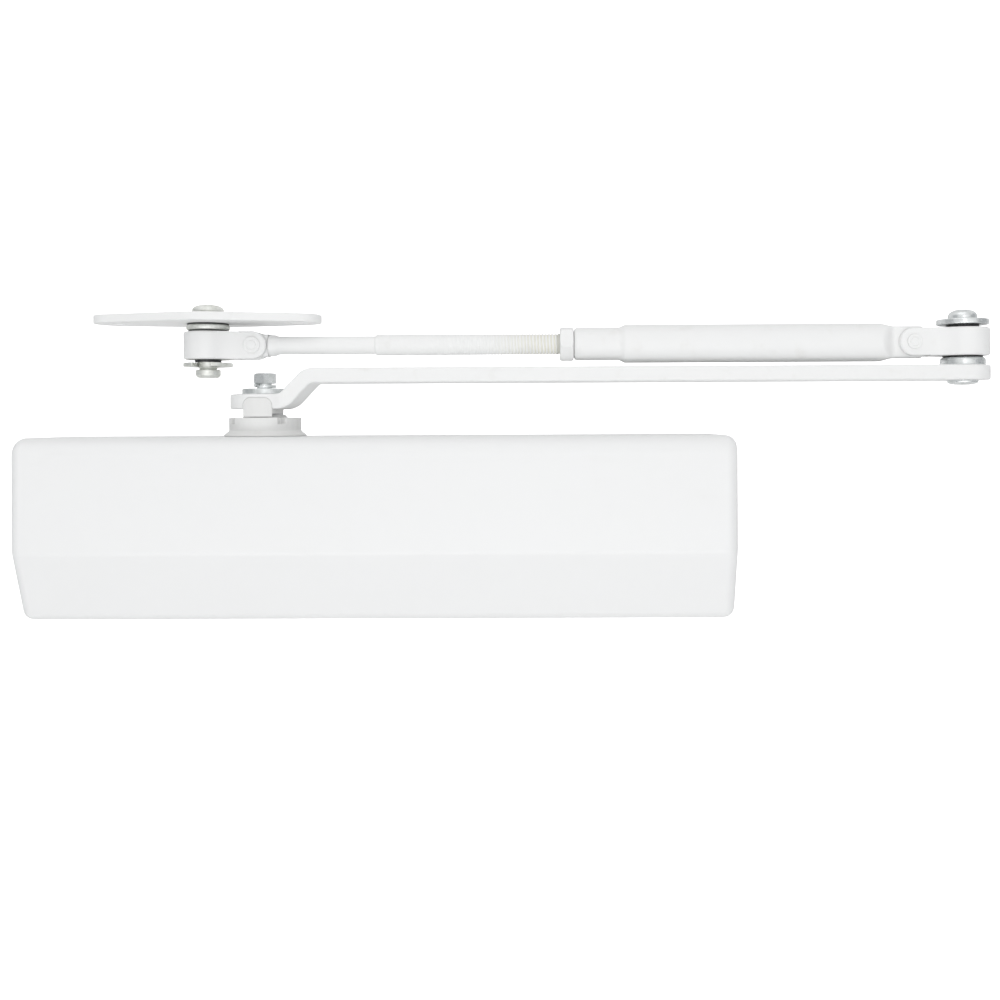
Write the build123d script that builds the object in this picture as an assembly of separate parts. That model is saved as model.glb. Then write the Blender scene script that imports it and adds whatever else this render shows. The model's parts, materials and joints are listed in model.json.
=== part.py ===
from build123d import *
from math import acos, asin, cos, hypot, pi, radians, sin, sqrt, tan
import os

# Overhead door closer: a rack-and-pinion body under a moulded cover, with a folded two-piece arm above it.
# X runs along the body, Z is up, and the door face lies in the plane Y = 0 with the body in front, at -Y.
# The origin is the centre of the four fixing holes. All lengths are millimetres.

# Cover
cover_length = 265.0
cover_height = 68.0
cover_depth = 50.0
cover_wall = 2.5
crease_below_middle = 8.4
lower_facet_lean = 10.0
cover_top_radius = 6.5
cover_bottom_radius = 4.6
crease_radius = 6.0
cover_end_radius = 4.4
cover_fit = 0.3

# Spindle place
spindle_from_barrel_end = 59.1
spindle_from_door = 25.0

# Casting
plate_end_gap = 5.0
plate_thickness = 6.0
barrel_from_plate_end = 21.0
bore_radius = 17.0
barrel_wall = 4.5
cap_thread_radius = 18.5
cap_thread_length = 10.0
boss_radius = 14.5
cross_bore_radius = 11.0
nut_thread_radius = 12.5
nut_thread_length = 4.0
lower_boss_rise = 4.5
cap_flange_radius = 20.0
cap_flange_thickness = 3.0
cap_relief = 0.5
cap_edge = 0.8
cap_groove = 2.0
cap_groove_place = 4.0
cap_ring_gap = 0.1
cap_socket_radius = 6.0
cap_socket_depth = 5.0
plug_hole_radius = 1.6
plug_hole_depth = 2.5
plug_hole_place = 7.0
saddle_half_height = 15.0
fixing_from_plate_end = 10.7
fixing_spacing_short = 19.05
fixing_hole_radius = 3.5

# Regulating screws
valve_radius = 4.0
valve_length = 13.0
needle_radius = 1.8
needle_length = 7.0
rail_length = 40.0
rail_width = 18.0
rail_height = 14.0
rail_drop = 22.0
valve_spacing = 9.0
screw_slot = 1.0
screw_slot_depth = 1.5
valve_head_gap = 1.0
valve_groove_place = 4.0
valve_groove_width = 1.5
valve_groove_depth = 0.8
needle_taper = 2.0

# Rack and pinion
tooth_module = 1.6
pinion_teeth = 10
pressure_angle = 20.0
profile_shift = 0.41
pinion_tip_radius = 9.9
backlash = 0.16
pinion_face = 18.0
rack_tooth_count = 9
root_depth = 1.25
rack_tip_height = 0.97
spindle_travel = 180.0

# Shaft and its bearings
shaft_radius = 6.7
thrust_collar_radius = 9.0
thrust_collar_height = 1.2
thrust_collar_gap = 0.4
seal_height = 2.2
running_gap = 0.05
seat_gap = 0.05
square_width = 9.0
square_fit = 0.1
square_below_hub_top = 0.2

# Bearing nut on top of the body
nut_flange_radius = 15.5
nut_flange_height = 2.1
nut_flange_rim = 0.5
nut_collar_radius = 13.5
nut_collar_height = 5.0
nut_lip_radius = 8.4
nut_lip_top_radius = 7.5
nut_lip_height = 1.1
nut_slot_count = 4
nut_slot_width = 3.0
nut_slot_depth = 2.8
nut_slot_turn = 26.0
nut_edge = 0.4

# Piston, spring and power adjustment
piston_head = 9.0
piston_tail = 14.0
window_end_gap = 1.2
window_side_gap = 1.0
spring_side_gap = 0.6
spring_end_gap = 0.2
spring_pocket = 6.0
spring_mean_radius = 12.5
spring_wire_radius = 2.4
spring_turns = 9
spring_seat_from_end = 26.0
spring_seat_thickness = 8.0
spring_seat_spigot = 6.0
power_screw_radius = 4.0
power_screw_length = 51.0
power_screw_head = 3.0
power_socket_radius = 2.3
power_socket_depth = 4.0
power_collar_radius = 7.0
power_collar_length = 3.0
thrust_ring_thickness = 1.4
valve_seat_radius = 4.0
valve_seat_thickness = 3.0
valve_passage_radius = 1.25
ball_radius = 2.25
ball_lift = 0.6
ball_side_gap = 0.35

# Heights above the cover's top
hub_bottom = 10.35
arm_bottom = 20.15
forearm_height = 34.75

# Main arm
arm_thickness = 5.7
arm_width = 20.0
arm_length = 266.9
hub_radius = 13.0
crank_start = 8.8
crank_run = 9.2
hub_neck_radius = 6.0
crank_radius = 5.5
arm_edge_radius = 0.8
tab_width = 10.8
tab_disc_radius = 6.8
tab_thickness = 1.7
tab_rise = 4.3
tab_overlap = 1.0
tab_proud = 0.05
tab_corner_radius = 3.0
tab_fit = 0.1

# Bolt and washers on the spindle
flat_washer_radius = 8.65
flat_washer_thickness = 2.1
spring_washer_radius = 4.25
spring_washer_height = 1.9
spring_washer_slit = 0.8
washer_fit = 0.15
spring_washer_slant = 35.0
bolt_radius = 2.5
bolt_across_flats = 8.0
bolt_head_height = 3.9
bolt_reach = 25.0
bolt_fit = 0.02
bolt_chamfer = 0.9
bolt_dish_radius = 2.6
bolt_dish_depth = 0.5

# Elbow
link_half_height = 5.3
pivot_radius = 4.0
rivet_fit = 0.02
link_edge = 0.9
cheek_edge = 0.7
elbow_barrel_radius = 9.9
elbow_bush_radius = 6.0
elbow_rivet_from_pin = 20.0
elbow_cheek_half_width = 5.5
elbow_strap = 2.3
elbow_rivet_radius = 2.0
elbow_rivet_head_radius = 2.8
bush_flange_radius = 7.25
bush_flange_height = 0.5
bush_proud = 1.1
spacer_radius = 8.3
spacer_edge_radius = 1.2
elbow_washer_radius = 9.6
elbow_washer_thickness = 2.1
elbow_washer_chamfer = 0.35
elbow_head_radius = 5.35
elbow_head_height = 3.85
elbow_tail_radius = 5.65
elbow_tail_height = 1.8
rivet_head_height = 0.7
rivet_ring_depth = 0.25
rivet_ring_width = 0.4

# Forearm tube
tube_small_radius = 6.25
tube_large_radius = 7.3
tube_mouth_from_elbow = 148.4
tube_step_from_mouth = 16.8
tube_step_length = 3.0
tube_taper_from_elbow = 32.6
tube_taper_length = 6.0
tube_bore_depth = 80.0
tube_mouth_edge = 1.2
tang_half_height = 6.1
tang_reach = 7.0
tang_gap = 0.12

# Locknut and adjuster rod
locknut_across_flats = 13.0
locknut_thickness = 4.6
locknut_gap = 0.75
locknut_turn_angle = 11.0
locknut_chamfer = 0.7
rod_radius = 4.0
shank_radius = 3.4
thread_from_foot = 64.3
thread_in_tube = 65.0
rod_collar_radius = 4.5
rod_collar_length = 3.7
rod_edge = 0.4
rod_tang_radius = 5.0
rod_tang_half_height = 4.25

# Foot
foot_from_spindle = 21.9
foot_barrel_radius = 9.1
foot_bush_radius = 4.9
foot_rivet_from_stud = 18.0
foot_cheek_half_width = 5.0
foot_strap = 2.2
foot_rivet_radius = 2.2
foot_rivet_head_radius = 3.2
foot_washer_radius = 8.1
foot_washer_thickness = 2.1
foot_washer_edge = 0.8
foot_shoulder_radius = 7.0
foot_shoulder_height = 0.5
foot_plate_thickness = 3.2
foot_plate_edge = 0.5
foot_plate_radius = 18.0
foot_end_radius = 9.1
foot_hole_spacing = 69.0
foot_hole_radius = 3.0
foot_head_radius = 5.95
foot_head_height = 4.1
foot_bush_proud = 1.0
clip_radius = 9.2
clip_thickness = 1.45
clip_gap = 0.3
clip_window_turn = 55.0
clip_window_radius = 1.6
clip_opening = 7.0
groove_radius = 3.6
stud_neck_radius = 3.9
stud_waist_radius = 3.0
stud_tip_radius = 4.65
stud_tip_height = 3.1
stud_neck_height = 1.1
stud_tip_chamfer = 0.9
stud_edge = 0.3
head_rim_height = 0.8
tail_rim_height = 0.5

# Cover clips
clip_leaf = 0.8
clip_leaf_width = 10.0
clip_leaf_foot = 5.5
clip_leaf_height = 14.0

# Places worked out from the sizes above
plate_length = cover_length - 2 * (cover_wall + plate_end_gap)
fixing_spacing_long = plate_length - 2 * fixing_from_plate_end
barrel_length = plate_length - 2 * barrel_from_plate_end
barrel_end = barrel_length / 2
spring_seat_place = barrel_end - spring_seat_from_end
spindle_x = spindle_from_barrel_end - barrel_end
spindle_y = -spindle_from_door
cover_top = cover_height / 2
elbow_x = spindle_x + arm_length
foot_x = spindle_x - foot_from_spindle
forearm_z = cover_top + forearm_height
hub_bottom_z = cover_top + hub_bottom
hub_top_z = hub_bottom_z + arm_thickness
arm_bottom_z = cover_top + arm_bottom
arm_top_z = arm_bottom_z + arm_thickness
link_bottom_z = forearm_z - link_half_height
link_top_z = forearm_z + link_half_height
barrel_radius = bore_radius + barrel_wall
casting_floor = -cover_top + cover_wall + lower_boss_rise
pitch_radius = tooth_module * pinion_teeth / 2
rack_travel = pitch_radius * radians(spindle_travel)

os.makedirs("parts", exist_ok=True)


def save(shape, name):
    """Writes one named piece."""
    export_step(shape, f"parts/{name}.step")


def upright(radius, bottom, top, x=spindle_x, y=spindle_y):
    """A cylinder that stands on the height bottom and ends at the height top."""
    return Pos(x, y, bottom) * Cylinder(radius, top - bottom, align=(Align.CENTER, Align.CENTER, Align.MIN))


def lying(radius, start, end, y=spindle_y, z=0):
    """A cylinder along X from start to end."""
    return extrude(Plane((start, y, z), x_dir=(0, 1, 0), z_dir=(1, 0, 0)) * Circle(radius), amount=end - start)


def crosswise(radius, start, end, x, z):
    """A cylinder along Y from start to end."""
    return extrude(Plane((x, start, z), x_dir=(-1, 0, 0), z_dir=(0, 1, 0)) * Circle(radius), amount=end - start)


def block(x_range, y_range, z_range):
    """A box between three pairs of limits."""
    middle = [sum(pair) / 2 for pair in (x_range, y_range, z_range)]
    size = [abs(pair[1] - pair[0]) for pair in (x_range, y_range, z_range)]
    return Pos(*middle) * Box(*size)


def turned(outline, x=spindle_x, y=spindle_y):
    """A piece turned about an upright axis, from its half outline of radius and height."""
    return Pos(x, y, 0) * revolve(Plane.XZ * make_face(outline), axis=Axis.Z)


def turned_along_x(outline, y=spindle_y, z=0):
    """A piece turned about an axis along X, from its half outline of place and radius."""
    return Pos(0, y, z) * revolve(Plane.XY * make_face(outline), axis=Axis.X)


def dome(radius, rim_height, top):
    """The arc of a domed rivet head, from its rim to the axis: part of a ball centred on the axis."""
    rise = top - rim_height
    ball = (radius**2 + rise**2) / (2 * rise)
    half_turn = asin(radius / abs(ball)) / 2
    middle = (abs(ball) * sin(half_turn), top - ball * (1 - cos(half_turn)))
    return ThreePointArc((radius, rim_height), middle, (0, top))


# The cover is one moulded shell, open at the door side


def cover_form(inset, back):
    """The cover's outer form drawn in by inset: its end profile carried along X, with rounded ends."""
    front = -cover_depth + inset
    half_height = cover_height / 2 - inset
    lean = lower_facet_lean * (half_height - crease_below_middle) / (cover_height / 2 - crease_below_middle)
    outline = Polyline(
        (back, half_height),
        (front, half_height),
        (front, -crease_below_middle),
        (front + lean, -half_height),
        (back, -half_height),
        close=True,
    )
    face = Plane((0, 0, 0), x_dir=(0, 1, 0), z_dir=(1, 0, 0)) * make_face(outline)
    length = cover_length - 2 * inset
    form = Pos(-length / 2, 0, 0) * extrude(face, amount=length)
    along = form.edges().filter_by(Axis.X)
    top_edge = along.group_by(Axis.Z)[-1].sort_by(Axis.Y)[0]
    bottom_edge = along.group_by(Axis.Z)[0].sort_by(Axis.Y)[0]
    form = fillet(top_edge, max(cover_top_radius - inset, 1.0))
    bottom_edge = form.edges().filter_by(Axis.X).group_by(Axis.Z)[0].sort_by(Axis.Y)[0]
    form = fillet(bottom_edge, max(cover_bottom_radius - inset, 1.0))
    crease = form.edges().filter_by(Axis.X).filter_by(lambda e: abs(e.center().Z + crease_below_middle) < 0.5)
    form = fillet(crease.sort_by(Axis.Y)[0], crease_radius)
    rims = []
    for end in (form.faces().sort_by(Axis.X)[0], form.faces().sort_by(Axis.X)[-1]):
        rims += [edge for edge in end.edges() if edge.center().Y < back - 0.01]
    return fillet(rims, max(cover_end_radius - inset, 1.0))


def make_cover():
    """Shell with a notch at the top that the casting's boss fills."""
    outer = cover_form(0, -cover_fit)
    inner = cover_form(cover_wall, cover_fit)
    notch_radius = boss_radius + cover_fit
    notch = upright(notch_radius, 0, cover_top + cover_fit)
    notch += block((spindle_x - notch_radius, spindle_x + notch_radius), (spindle_y, cover_fit),
                   (0, cover_top + cover_fit))
    return outer - inner - notch


# The casting carries everything: back plate, long barrel, cross bosses and the rails of the regulating screws

fixing_places = [
    (side * fixing_spacing_long / 2, level * fixing_spacing_short / 2) for side in (-1, 1) for level in (-1, 1)
]
valve_z = -rail_drop
front_valve_y = spindle_y - valve_spacing / 2
back_valve_y = spindle_y + valve_spacing / 2


def make_casting():
    """Body casting with its bores and holes."""
    plate_half = cover_height / 2 - cover_wall - cover_fit
    body = block((-plate_length / 2, plate_length / 2), (-plate_thickness, 0), (-plate_half, plate_half))
    body += lying(barrel_radius, -barrel_end, barrel_end)
    saddle = (-saddle_half_height, saddle_half_height)
    body += block((-barrel_end, barrel_end), (spindle_y, -plate_thickness), saddle)
    for bottom, top in ((casting_floor, 0), (0, cover_top)):
        body += upright(boss_radius, bottom, top)
        body += block((spindle_x - boss_radius, spindle_x + boss_radius), (spindle_y, -plate_thickness / 2),
                      (bottom, top))
    for side in (-1, 1):
        body += block(
            (side * barrel_end, side * (barrel_end - rail_length)),
            (spindle_y - rail_width / 2, spindle_y + rail_width / 2),
            (valve_z - rail_height / 2, valve_z + rail_height / 2),
        )
    body -= lying(bore_radius, -barrel_end, barrel_end)
    for side in (-1, 1):
        body -= lying(cap_thread_radius, side * barrel_end, side * (barrel_end - cap_thread_length))
        body -= lying(cap_flange_radius + cap_relief, side * barrel_end,
                      side * (barrel_end + cap_flange_thickness + cap_relief))
    body -= upright(cross_bore_radius, casting_floor + nut_thread_length, cover_top - nut_thread_length)
    body -= upright(nut_thread_radius, cover_top - nut_thread_length, cover_top)
    body -= upright(nut_thread_radius, casting_floor, casting_floor + nut_thread_length)
    for side, y in ((-1, front_valve_y), (-1, back_valve_y), (1, front_valve_y)):
        seat = side * (barrel_end - valve_length)
        body -= lying(valve_radius, side * barrel_end, seat, y, valve_z)
        body -= lying(needle_radius + running_gap, seat, seat - side * needle_length, y, valve_z)
    for x, z in fixing_places:
        body -= crosswise(fixing_hole_radius, -plate_thickness, 0, x, z)
    return body


def make_valve_screw(side, y):
    """Regulating screw: slotted head, groove for its ring and a tapered needle."""
    radius = valve_radius - running_gap
    face = barrel_end - valve_head_gap
    groove_start = face - valve_groove_place
    groove_end = groove_start - valve_groove_width
    groove_floor = radius - valve_groove_depth
    shoulder = barrel_end - valve_length + seat_gap
    tip = shoulder - needle_length
    outline = Polyline(
        (side * face, 0), (side * face, radius),
        (side * groove_start, radius), (side * groove_start, groove_floor),
        (side * groove_end, groove_floor), (side * groove_end, radius),
        (side * shoulder, radius), (side * shoulder, needle_radius),
        (side * (tip + needle_taper), needle_radius), (side * tip, needle_radius / 3), (side * tip, 0),
        close=True,
    )
    screw = turned_along_x(outline, y, valve_z)
    slot = block(
        (side * face, side * (face - screw_slot_depth)),
        (y - valve_radius, y + valve_radius),
        (valve_z - screw_slot / 2, valve_z + screw_slot / 2),
    )
    return screw - slot


def make_end_cap(side, bore):
    """Screwed plug with a flange and a hexagon socket, or with a hole for the power adjusting screw."""
    face = barrel_end
    flange = cap_flange_thickness
    groove_start = face - cap_groove_place
    groove_end = groove_start - cap_groove
    radius = cap_thread_radius - seat_gap
    outline = Polyline(
        (side * (face + flange), 0), (side * (face + flange), cap_flange_radius - cap_edge),
        (side * (face + flange - cap_edge), cap_flange_radius), (side * (face + seat_gap), cap_flange_radius),
        (side * (face + seat_gap), radius), (side * groove_start, radius),
        (side * groove_start, radius - cap_groove), (side * groove_end, radius - cap_groove),
        (side * groove_end, radius), (side * (face - cap_thread_length + seat_gap), radius),
        (side * (face - cap_thread_length + seat_gap), 0),
        close=True,
    )
    cap = turned_along_x(outline)
    if bore:
        return cap - lying(bore, side * (face - cap_thread_length), side * (face + flange))
    frame = Plane((side * (face + flange), spindle_y, 0), x_dir=(0, 1, 0), z_dir=(side, 0, 0))
    return cap - extrude(frame * RegularPolygon(cap_socket_radius, 6), amount=-cap_socket_depth)


def make_cap_seals():
    """Two rings in the grooves of the end plugs."""
    seals = []
    outer = cap_thread_radius - seat_gap
    inner = outer - cap_groove + cap_ring_gap
    near = barrel_end - cap_groove_place - cap_ring_gap
    far = barrel_end - cap_groove_place - cap_groove + cap_ring_gap
    for side in (-1, 1):
        seals.append(lying(outer, side * near, side * far) - lying(inner, side * near, side * far))
    return Compound(seals)


def make_ring(outer, inner, bottom, top, x=spindle_x, y=spindle_y):
    """A plain upright ring."""
    return upright(outer, bottom, top, x, y) - upright(inner, bottom, top, x, y)


def make_bearing_nut():
    """Threaded ring with a flange and a collar that has four spanner slots."""
    low = cover_top - nut_thread_length + seat_gap
    flange_low = cover_top + seat_gap
    flange_top = flange_low + nut_flange_height
    collar_top = flange_top + nut_collar_height
    lip_top = collar_top + nut_lip_height
    hole = shaft_radius + 2 * running_gap
    outline = Polyline(
        (hole, low), (nut_thread_radius - seat_gap, low), (nut_thread_radius - seat_gap, flange_low),
        (nut_flange_radius, flange_low), (nut_flange_radius, flange_low + nut_flange_rim),
        (nut_collar_radius, flange_top), (nut_collar_radius, collar_top - nut_edge),
        (nut_collar_radius - nut_edge, collar_top),
        (nut_lip_radius, collar_top), (nut_lip_top_radius, lip_top), (hole, lip_top),
        close=True,
    )
    nut = turned(outline)
    for turn in range(nut_slot_count):
        slot = Box(nut_slot_width, 2 * nut_slot_depth, nut_collar_height)
        placed = Rot(0, 0, nut_slot_turn + turn * 360 / nut_slot_count) * Pos(0, -nut_collar_radius, 0) * slot
        nut -= Pos(spindle_x, spindle_y, flange_top + nut_collar_height / 2) * placed
    return nut


def make_lower_plug():
    """Plug under the lower bearing, with two spanner holes."""
    plug = upright(nut_thread_radius - seat_gap, casting_floor, casting_floor + nut_thread_length - seat_gap)
    for side in (-1, 1):
        plug -= upright(plug_hole_radius, casting_floor, casting_floor + plug_hole_depth,
                        spindle_x + side * plug_hole_place)
    return plug


# Rack and pinion: involute teeth on the shaft, straight teeth in the piston's window


def involute(angle):
    """The involute function of an angle in radians."""
    return tan(angle) - angle


def tooth_half_angle(radius):
    """Half the angle that one pinion tooth spans at a radius, less the backlash."""
    base_radius = pitch_radius * cos(radians(pressure_angle))
    thickness = tooth_module * (pi / 2 + 2 * profile_shift * tan(radians(pressure_angle))) - backlash
    here = acos(min(1.0, base_radius / max(radius, base_radius)))
    return thickness / (2 * pitch_radius) + involute(radians(pressure_angle)) - involute(here)


def pinion_outline():
    """Closed outline of the toothed part, one tooth pointing to the rack at +Y."""
    root_radius = pitch_radius + (profile_shift - root_depth) * tooth_module
    base_radius = pitch_radius * cos(radians(pressure_angle))
    steps = 3
    rise = (pinion_tip_radius - base_radius) / steps
    flank = [root_radius] + [base_radius + rise * i for i in range(steps + 1)]
    points = []
    for tooth in range(pinion_teeth):
        middle = pi / 2 - tooth * 2 * pi / pinion_teeth
        for radius in flank:
            angle = middle + tooth_half_angle(radius)
            points.append((radius * cos(angle), radius * sin(angle)))
        for radius in reversed(flank):
            angle = middle - tooth_half_angle(radius)
            points.append((radius * cos(angle), radius * sin(angle)))
    return make_face(Polyline(*points, close=True))


tab_washer_low = hub_bottom_z - tab_thickness
square_top = hub_top_z - square_below_hub_top
thrust_collar_low = bore_radius + thrust_collar_gap


def make_pinion_shaft():
    """Shaft with teeth in the middle, thrust collars, a square end and a tapped hole."""
    low = casting_floor + nut_thread_length + cover_fit
    shaft = upright(shaft_radius, low, tab_washer_low)
    teeth = Pos(spindle_x, spindle_y, -pinion_face / 2) * extrude(pinion_outline(), amount=pinion_face)
    shaft += teeth
    for low_side in (-1, 1):
        ends = (low_side * thrust_collar_low, low_side * (thrust_collar_low + thrust_collar_height))
        shaft += upright(thrust_collar_radius, min(ends), max(ends))
    shaft += block(
        (spindle_x - square_width / 2, spindle_x + square_width / 2),
        (spindle_y - square_width / 2, spindle_y + square_width / 2),
        (tab_washer_low, square_top),
    )
    return shaft - upright(bolt_radius + bolt_fit, square_top - bolt_reach, square_top)


window_left = spindle_x - pinion_tip_radius - rack_travel - window_end_gap
window_right = spindle_x + pinion_tip_radius + window_end_gap + thrust_collar_gap
piston_left = window_left - piston_head
piston_right = window_right + piston_tail


def window_outline():
    """Outline of the piston's window, with the rack's teeth on its door side."""
    pitch = pi * tooth_module
    reference = pitch_radius + profile_shift * tooth_module
    root = reference + root_depth * tooth_module
    tip = reference - rack_tip_height * tooth_module
    slope = tan(radians(pressure_angle))
    half = (pitch - backlash) / 4
    front = spindle_y - pinion_tip_radius - window_side_gap
    points = [(window_left, front), (window_right, front), (window_right, spindle_y + root)]
    for tooth in range(rack_tooth_count):
        middle = spindle_x + (1.5 - tooth) * pitch
        wide = half + (root - reference) * slope
        narrow = half - (reference - tip) * slope
        points += [(middle + wide, spindle_y + root), (middle + narrow, spindle_y + tip),
                   (middle - narrow, spindle_y + tip), (middle - wide, spindle_y + root)]
    points.append((window_left, spindle_y + root))
    return make_face(Polyline(*points, close=True))


ball_seat_face = piston_left + valve_seat_thickness
ball_x = ball_seat_face + sqrt(ball_radius**2 - valve_passage_radius**2) + running_gap


def make_piston():
    """Piston with its window, rack, spring pocket and check valve chamber."""
    radius = bore_radius - running_gap
    piston = lying(radius, piston_left, piston_right)
    piston -= Pos(0, 0, -radius) * extrude(window_outline(), amount=2 * radius)
    pocket_radius = spring_mean_radius + spring_wire_radius + spring_side_gap
    piston -= lying(pocket_radius, piston_right - spring_pocket, piston_right)
    piston -= lying(valve_seat_radius, piston_left, ball_seat_face)
    chamber_end = ball_x + ball_radius + ball_lift + 3 * running_gap
    piston -= lying(ball_radius + ball_side_gap, ball_seat_face, chamber_end)
    piston -= lying(valve_passage_radius, ball_seat_face, window_left)
    return piston


def make_spring():
    """Closing spring: one unbroken coil between the piston's pocket and the spring seat."""
    start = piston_right - spring_pocket + spring_wire_radius + spring_end_gap
    end = spring_seat_place - spring_wire_radius - spring_end_gap
    pitch = (end - start) / spring_turns
    path = Helix(pitch, end - start, spring_mean_radius, center=(start, spindle_y, 0), direction=(1, 0, 0))
    section = Plane(path @ 0, z_dir=path % 0) * RegularPolygon(spring_wire_radius, 8)
    coil = sweep(section, path=path, is_frenet=True)
    print("main spring: gap between turns", round(pitch - 2 * spring_wire_radius, 2), "mm")
    return coil


def make_spring_seat():
    """Nut that the spring pushes on, with a spigot inside the coil."""
    start = spring_seat_place - spring_seat_spigot
    end = spring_seat_place + spring_seat_thickness
    spigot_radius = spring_mean_radius - spring_wire_radius - spring_side_gap
    seat = lying(bore_radius - running_gap, spring_seat_place, end) + lying(spigot_radius, start, spring_seat_place)
    return seat - lying(power_screw_radius + running_gap, start, end)


cap_inner_face = barrel_end - cap_thread_length
ring_inner = cap_inner_face - thrust_ring_thickness


def make_power_screw():
    """Long screw through the right plug, held by a collar behind the thrust ring."""
    end = barrel_end + power_screw_head
    screw = lying(power_screw_radius, end - power_screw_length, end)
    screw += lying(power_collar_radius, ring_inner - power_collar_length, ring_inner - seat_gap)
    frame = Plane((end, spindle_y, 0), x_dir=(0, 1, 0), z_dir=(1, 0, 0))
    return screw - extrude(frame * RegularPolygon(power_socket_radius, 6), amount=-power_socket_depth)


# Arm on the spindle


def square_hole(bottom, top):
    """The square hole that fits the shaft's end."""
    half = (square_width + square_fit) / 2
    return block((spindle_x - half, spindle_x + half), (spindle_y - half, spindle_y + half), (bottom, top))


def arched(width, height, corner, depth):
    """A flat block, upright in XZ, with its two upper corners rounded; it starts at height 0."""
    sketch = Pos(0, height / 2) * Rectangle(width, height)
    sketch = fillet(sketch.vertices().group_by(Axis.Y)[-1], corner)
    return extrude(Plane.XZ * sketch, amount=depth)


def make_tab_washer():
    """Washer on the spindle's square, with an ear bent up into a notch in the hub's front."""
    washer = upright(tab_disc_radius, tab_washer_low, hub_bottom_z)
    bridge_out = hub_radius - tab_fit
    washer += block((spindle_x - tab_width / 2, spindle_x + tab_width / 2), (spindle_y - bridge_out, spindle_y),
                    (tab_washer_low, hub_bottom_z - seat_gap))
    ear_low = cover_top + seat_gap + nut_flange_height + nut_collar_height + cover_fit
    ear = Pos(spindle_x, spindle_y - hub_radius + tab_thickness + 2 * tab_fit, ear_low) * arched(
        tab_width, hub_bottom_z + tab_rise - ear_low, tab_corner_radius, tab_thickness + tab_overlap)
    washer += ear
    washer &= upright(hub_radius + tab_proud, ear_low, hub_top_z)
    return washer - square_hole(ear_low, hub_bottom_z)


def arm_path():
    """Middle line of the arm seen from the front: hub, crank and bar."""
    hub_middle = (hub_bottom_z + hub_top_z) / 2
    bar_middle = (arm_bottom_z + arm_top_z) / 2
    return FilletPolyline(
        (spindle_x - hub_radius - 1, spindle_y, hub_middle),
        (spindle_x + crank_start, spindle_y, hub_middle),
        (spindle_x + crank_start + crank_run, spindle_y, bar_middle),
        (elbow_x + arm_width, spindle_y, bar_middle),
        radius=crank_radius,
    )


def make_main_arm():
    """Flat bar swept along the cranked line, trimmed to the plan of hub, bar and rounded end."""
    path = arm_path()
    section = Plane(path @ 0, x_dir=(0, 1, 0), z_dir=(1, 0, 0)) * Rectangle(2 * hub_radius + 2, arm_thickness)
    strip = sweep(section, path=path)
    plan = Pos(spindle_x, spindle_y) * Circle(hub_radius) + Pos(elbow_x, spindle_y) * Circle(arm_width / 2)
    plan += Pos((spindle_x + elbow_x) / 2, spindle_y) * Rectangle(arm_length, arm_width)
    necks = [v for v in plan.vertices() if 1 < v.X - spindle_x < hub_radius]
    plan = fillet(necks, hub_neck_radius)
    arm = strip & (Pos(0, 0, hub_bottom_z - 1) * extrude(plan, amount=arm_top_z - hub_bottom_z + 2))
    arm = fillet(rim_edges(arm), arm_edge_radius)
    arm -= square_hole(hub_bottom_z, hub_top_z)
    arm -= upright(flat_washer_radius + cover_fit, hub_top_z, arm_top_z)
    notch_height = tab_thickness + tab_rise + tab_fit
    notch = arched(tab_width + 2 * tab_fit, notch_height, tab_corner_radius + tab_fit, hub_radius)
    notch_back = spindle_y - hub_radius + tab_thickness + 3 * tab_fit
    arm -= Pos(spindle_x, notch_back, hub_bottom_z - tab_thickness) * notch
    return arm - upright(pivot_radius + rivet_fit, arm_bottom_z, arm_top_z, elbow_x)


def rim_edges(shape):
    """The edges that bound the upright side faces above and below."""
    edges = []
    for face in shape.faces():
        if abs(face.normal_at().Z) < 0.01:
            for edge in face.edges():
                run = edge.position_at(1) - edge.position_at(0)
                if hypot(run.X, run.Y) > 0.01:
                    edges.append(edge)
    return edges


def make_bolt():
    """Hexagon bolt with a chamfered, slightly dished head."""
    base = hub_top_z + flat_washer_thickness + spring_washer_height + 3 * seat_gap
    top = base + bolt_head_height
    corner = bolt_across_flats / 2 / cos(pi / 6)
    hexagon = Rot(0, 0, 30) * RegularPolygon(corner, 6)
    head = Pos(spindle_x, spindle_y, base) * extrude(hexagon, amount=bolt_head_height)
    floor = top - bolt_dish_depth
    crown = turned(Polyline((0, base), (corner, base), (corner, top - bolt_chamfer * 2 / 3),
                            (corner - bolt_chamfer, top), (bolt_dish_radius, top),
                            (bolt_dish_radius - bolt_dish_depth, floor), (0, floor), close=True))
    return (head & crown) + upright(bolt_radius, square_top - bolt_reach + 1, base)


def make_spring_washer():
    """Split spring washer with a slanted cut at the front."""
    low = hub_top_z + flat_washer_thickness + 2 * seat_gap
    ring = make_ring(spring_washer_radius, bolt_radius + washer_fit, low, low + spring_washer_height)
    slit = Rot(0, spring_washer_slant, 0) * Box(spring_washer_slit, spring_washer_radius, 3 * spring_washer_height)
    front = spindle_y - (spring_washer_radius + bolt_radius) / 2
    return ring - Pos(spindle_x, front, low + spring_washer_height / 2) * slit


# Elbow joint

spacer_top = link_bottom_z - bush_flange_height - 2 * seat_gap
washer_low = link_top_z + bush_proud + seat_gap
washer_top = washer_low + elbow_washer_thickness


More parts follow.
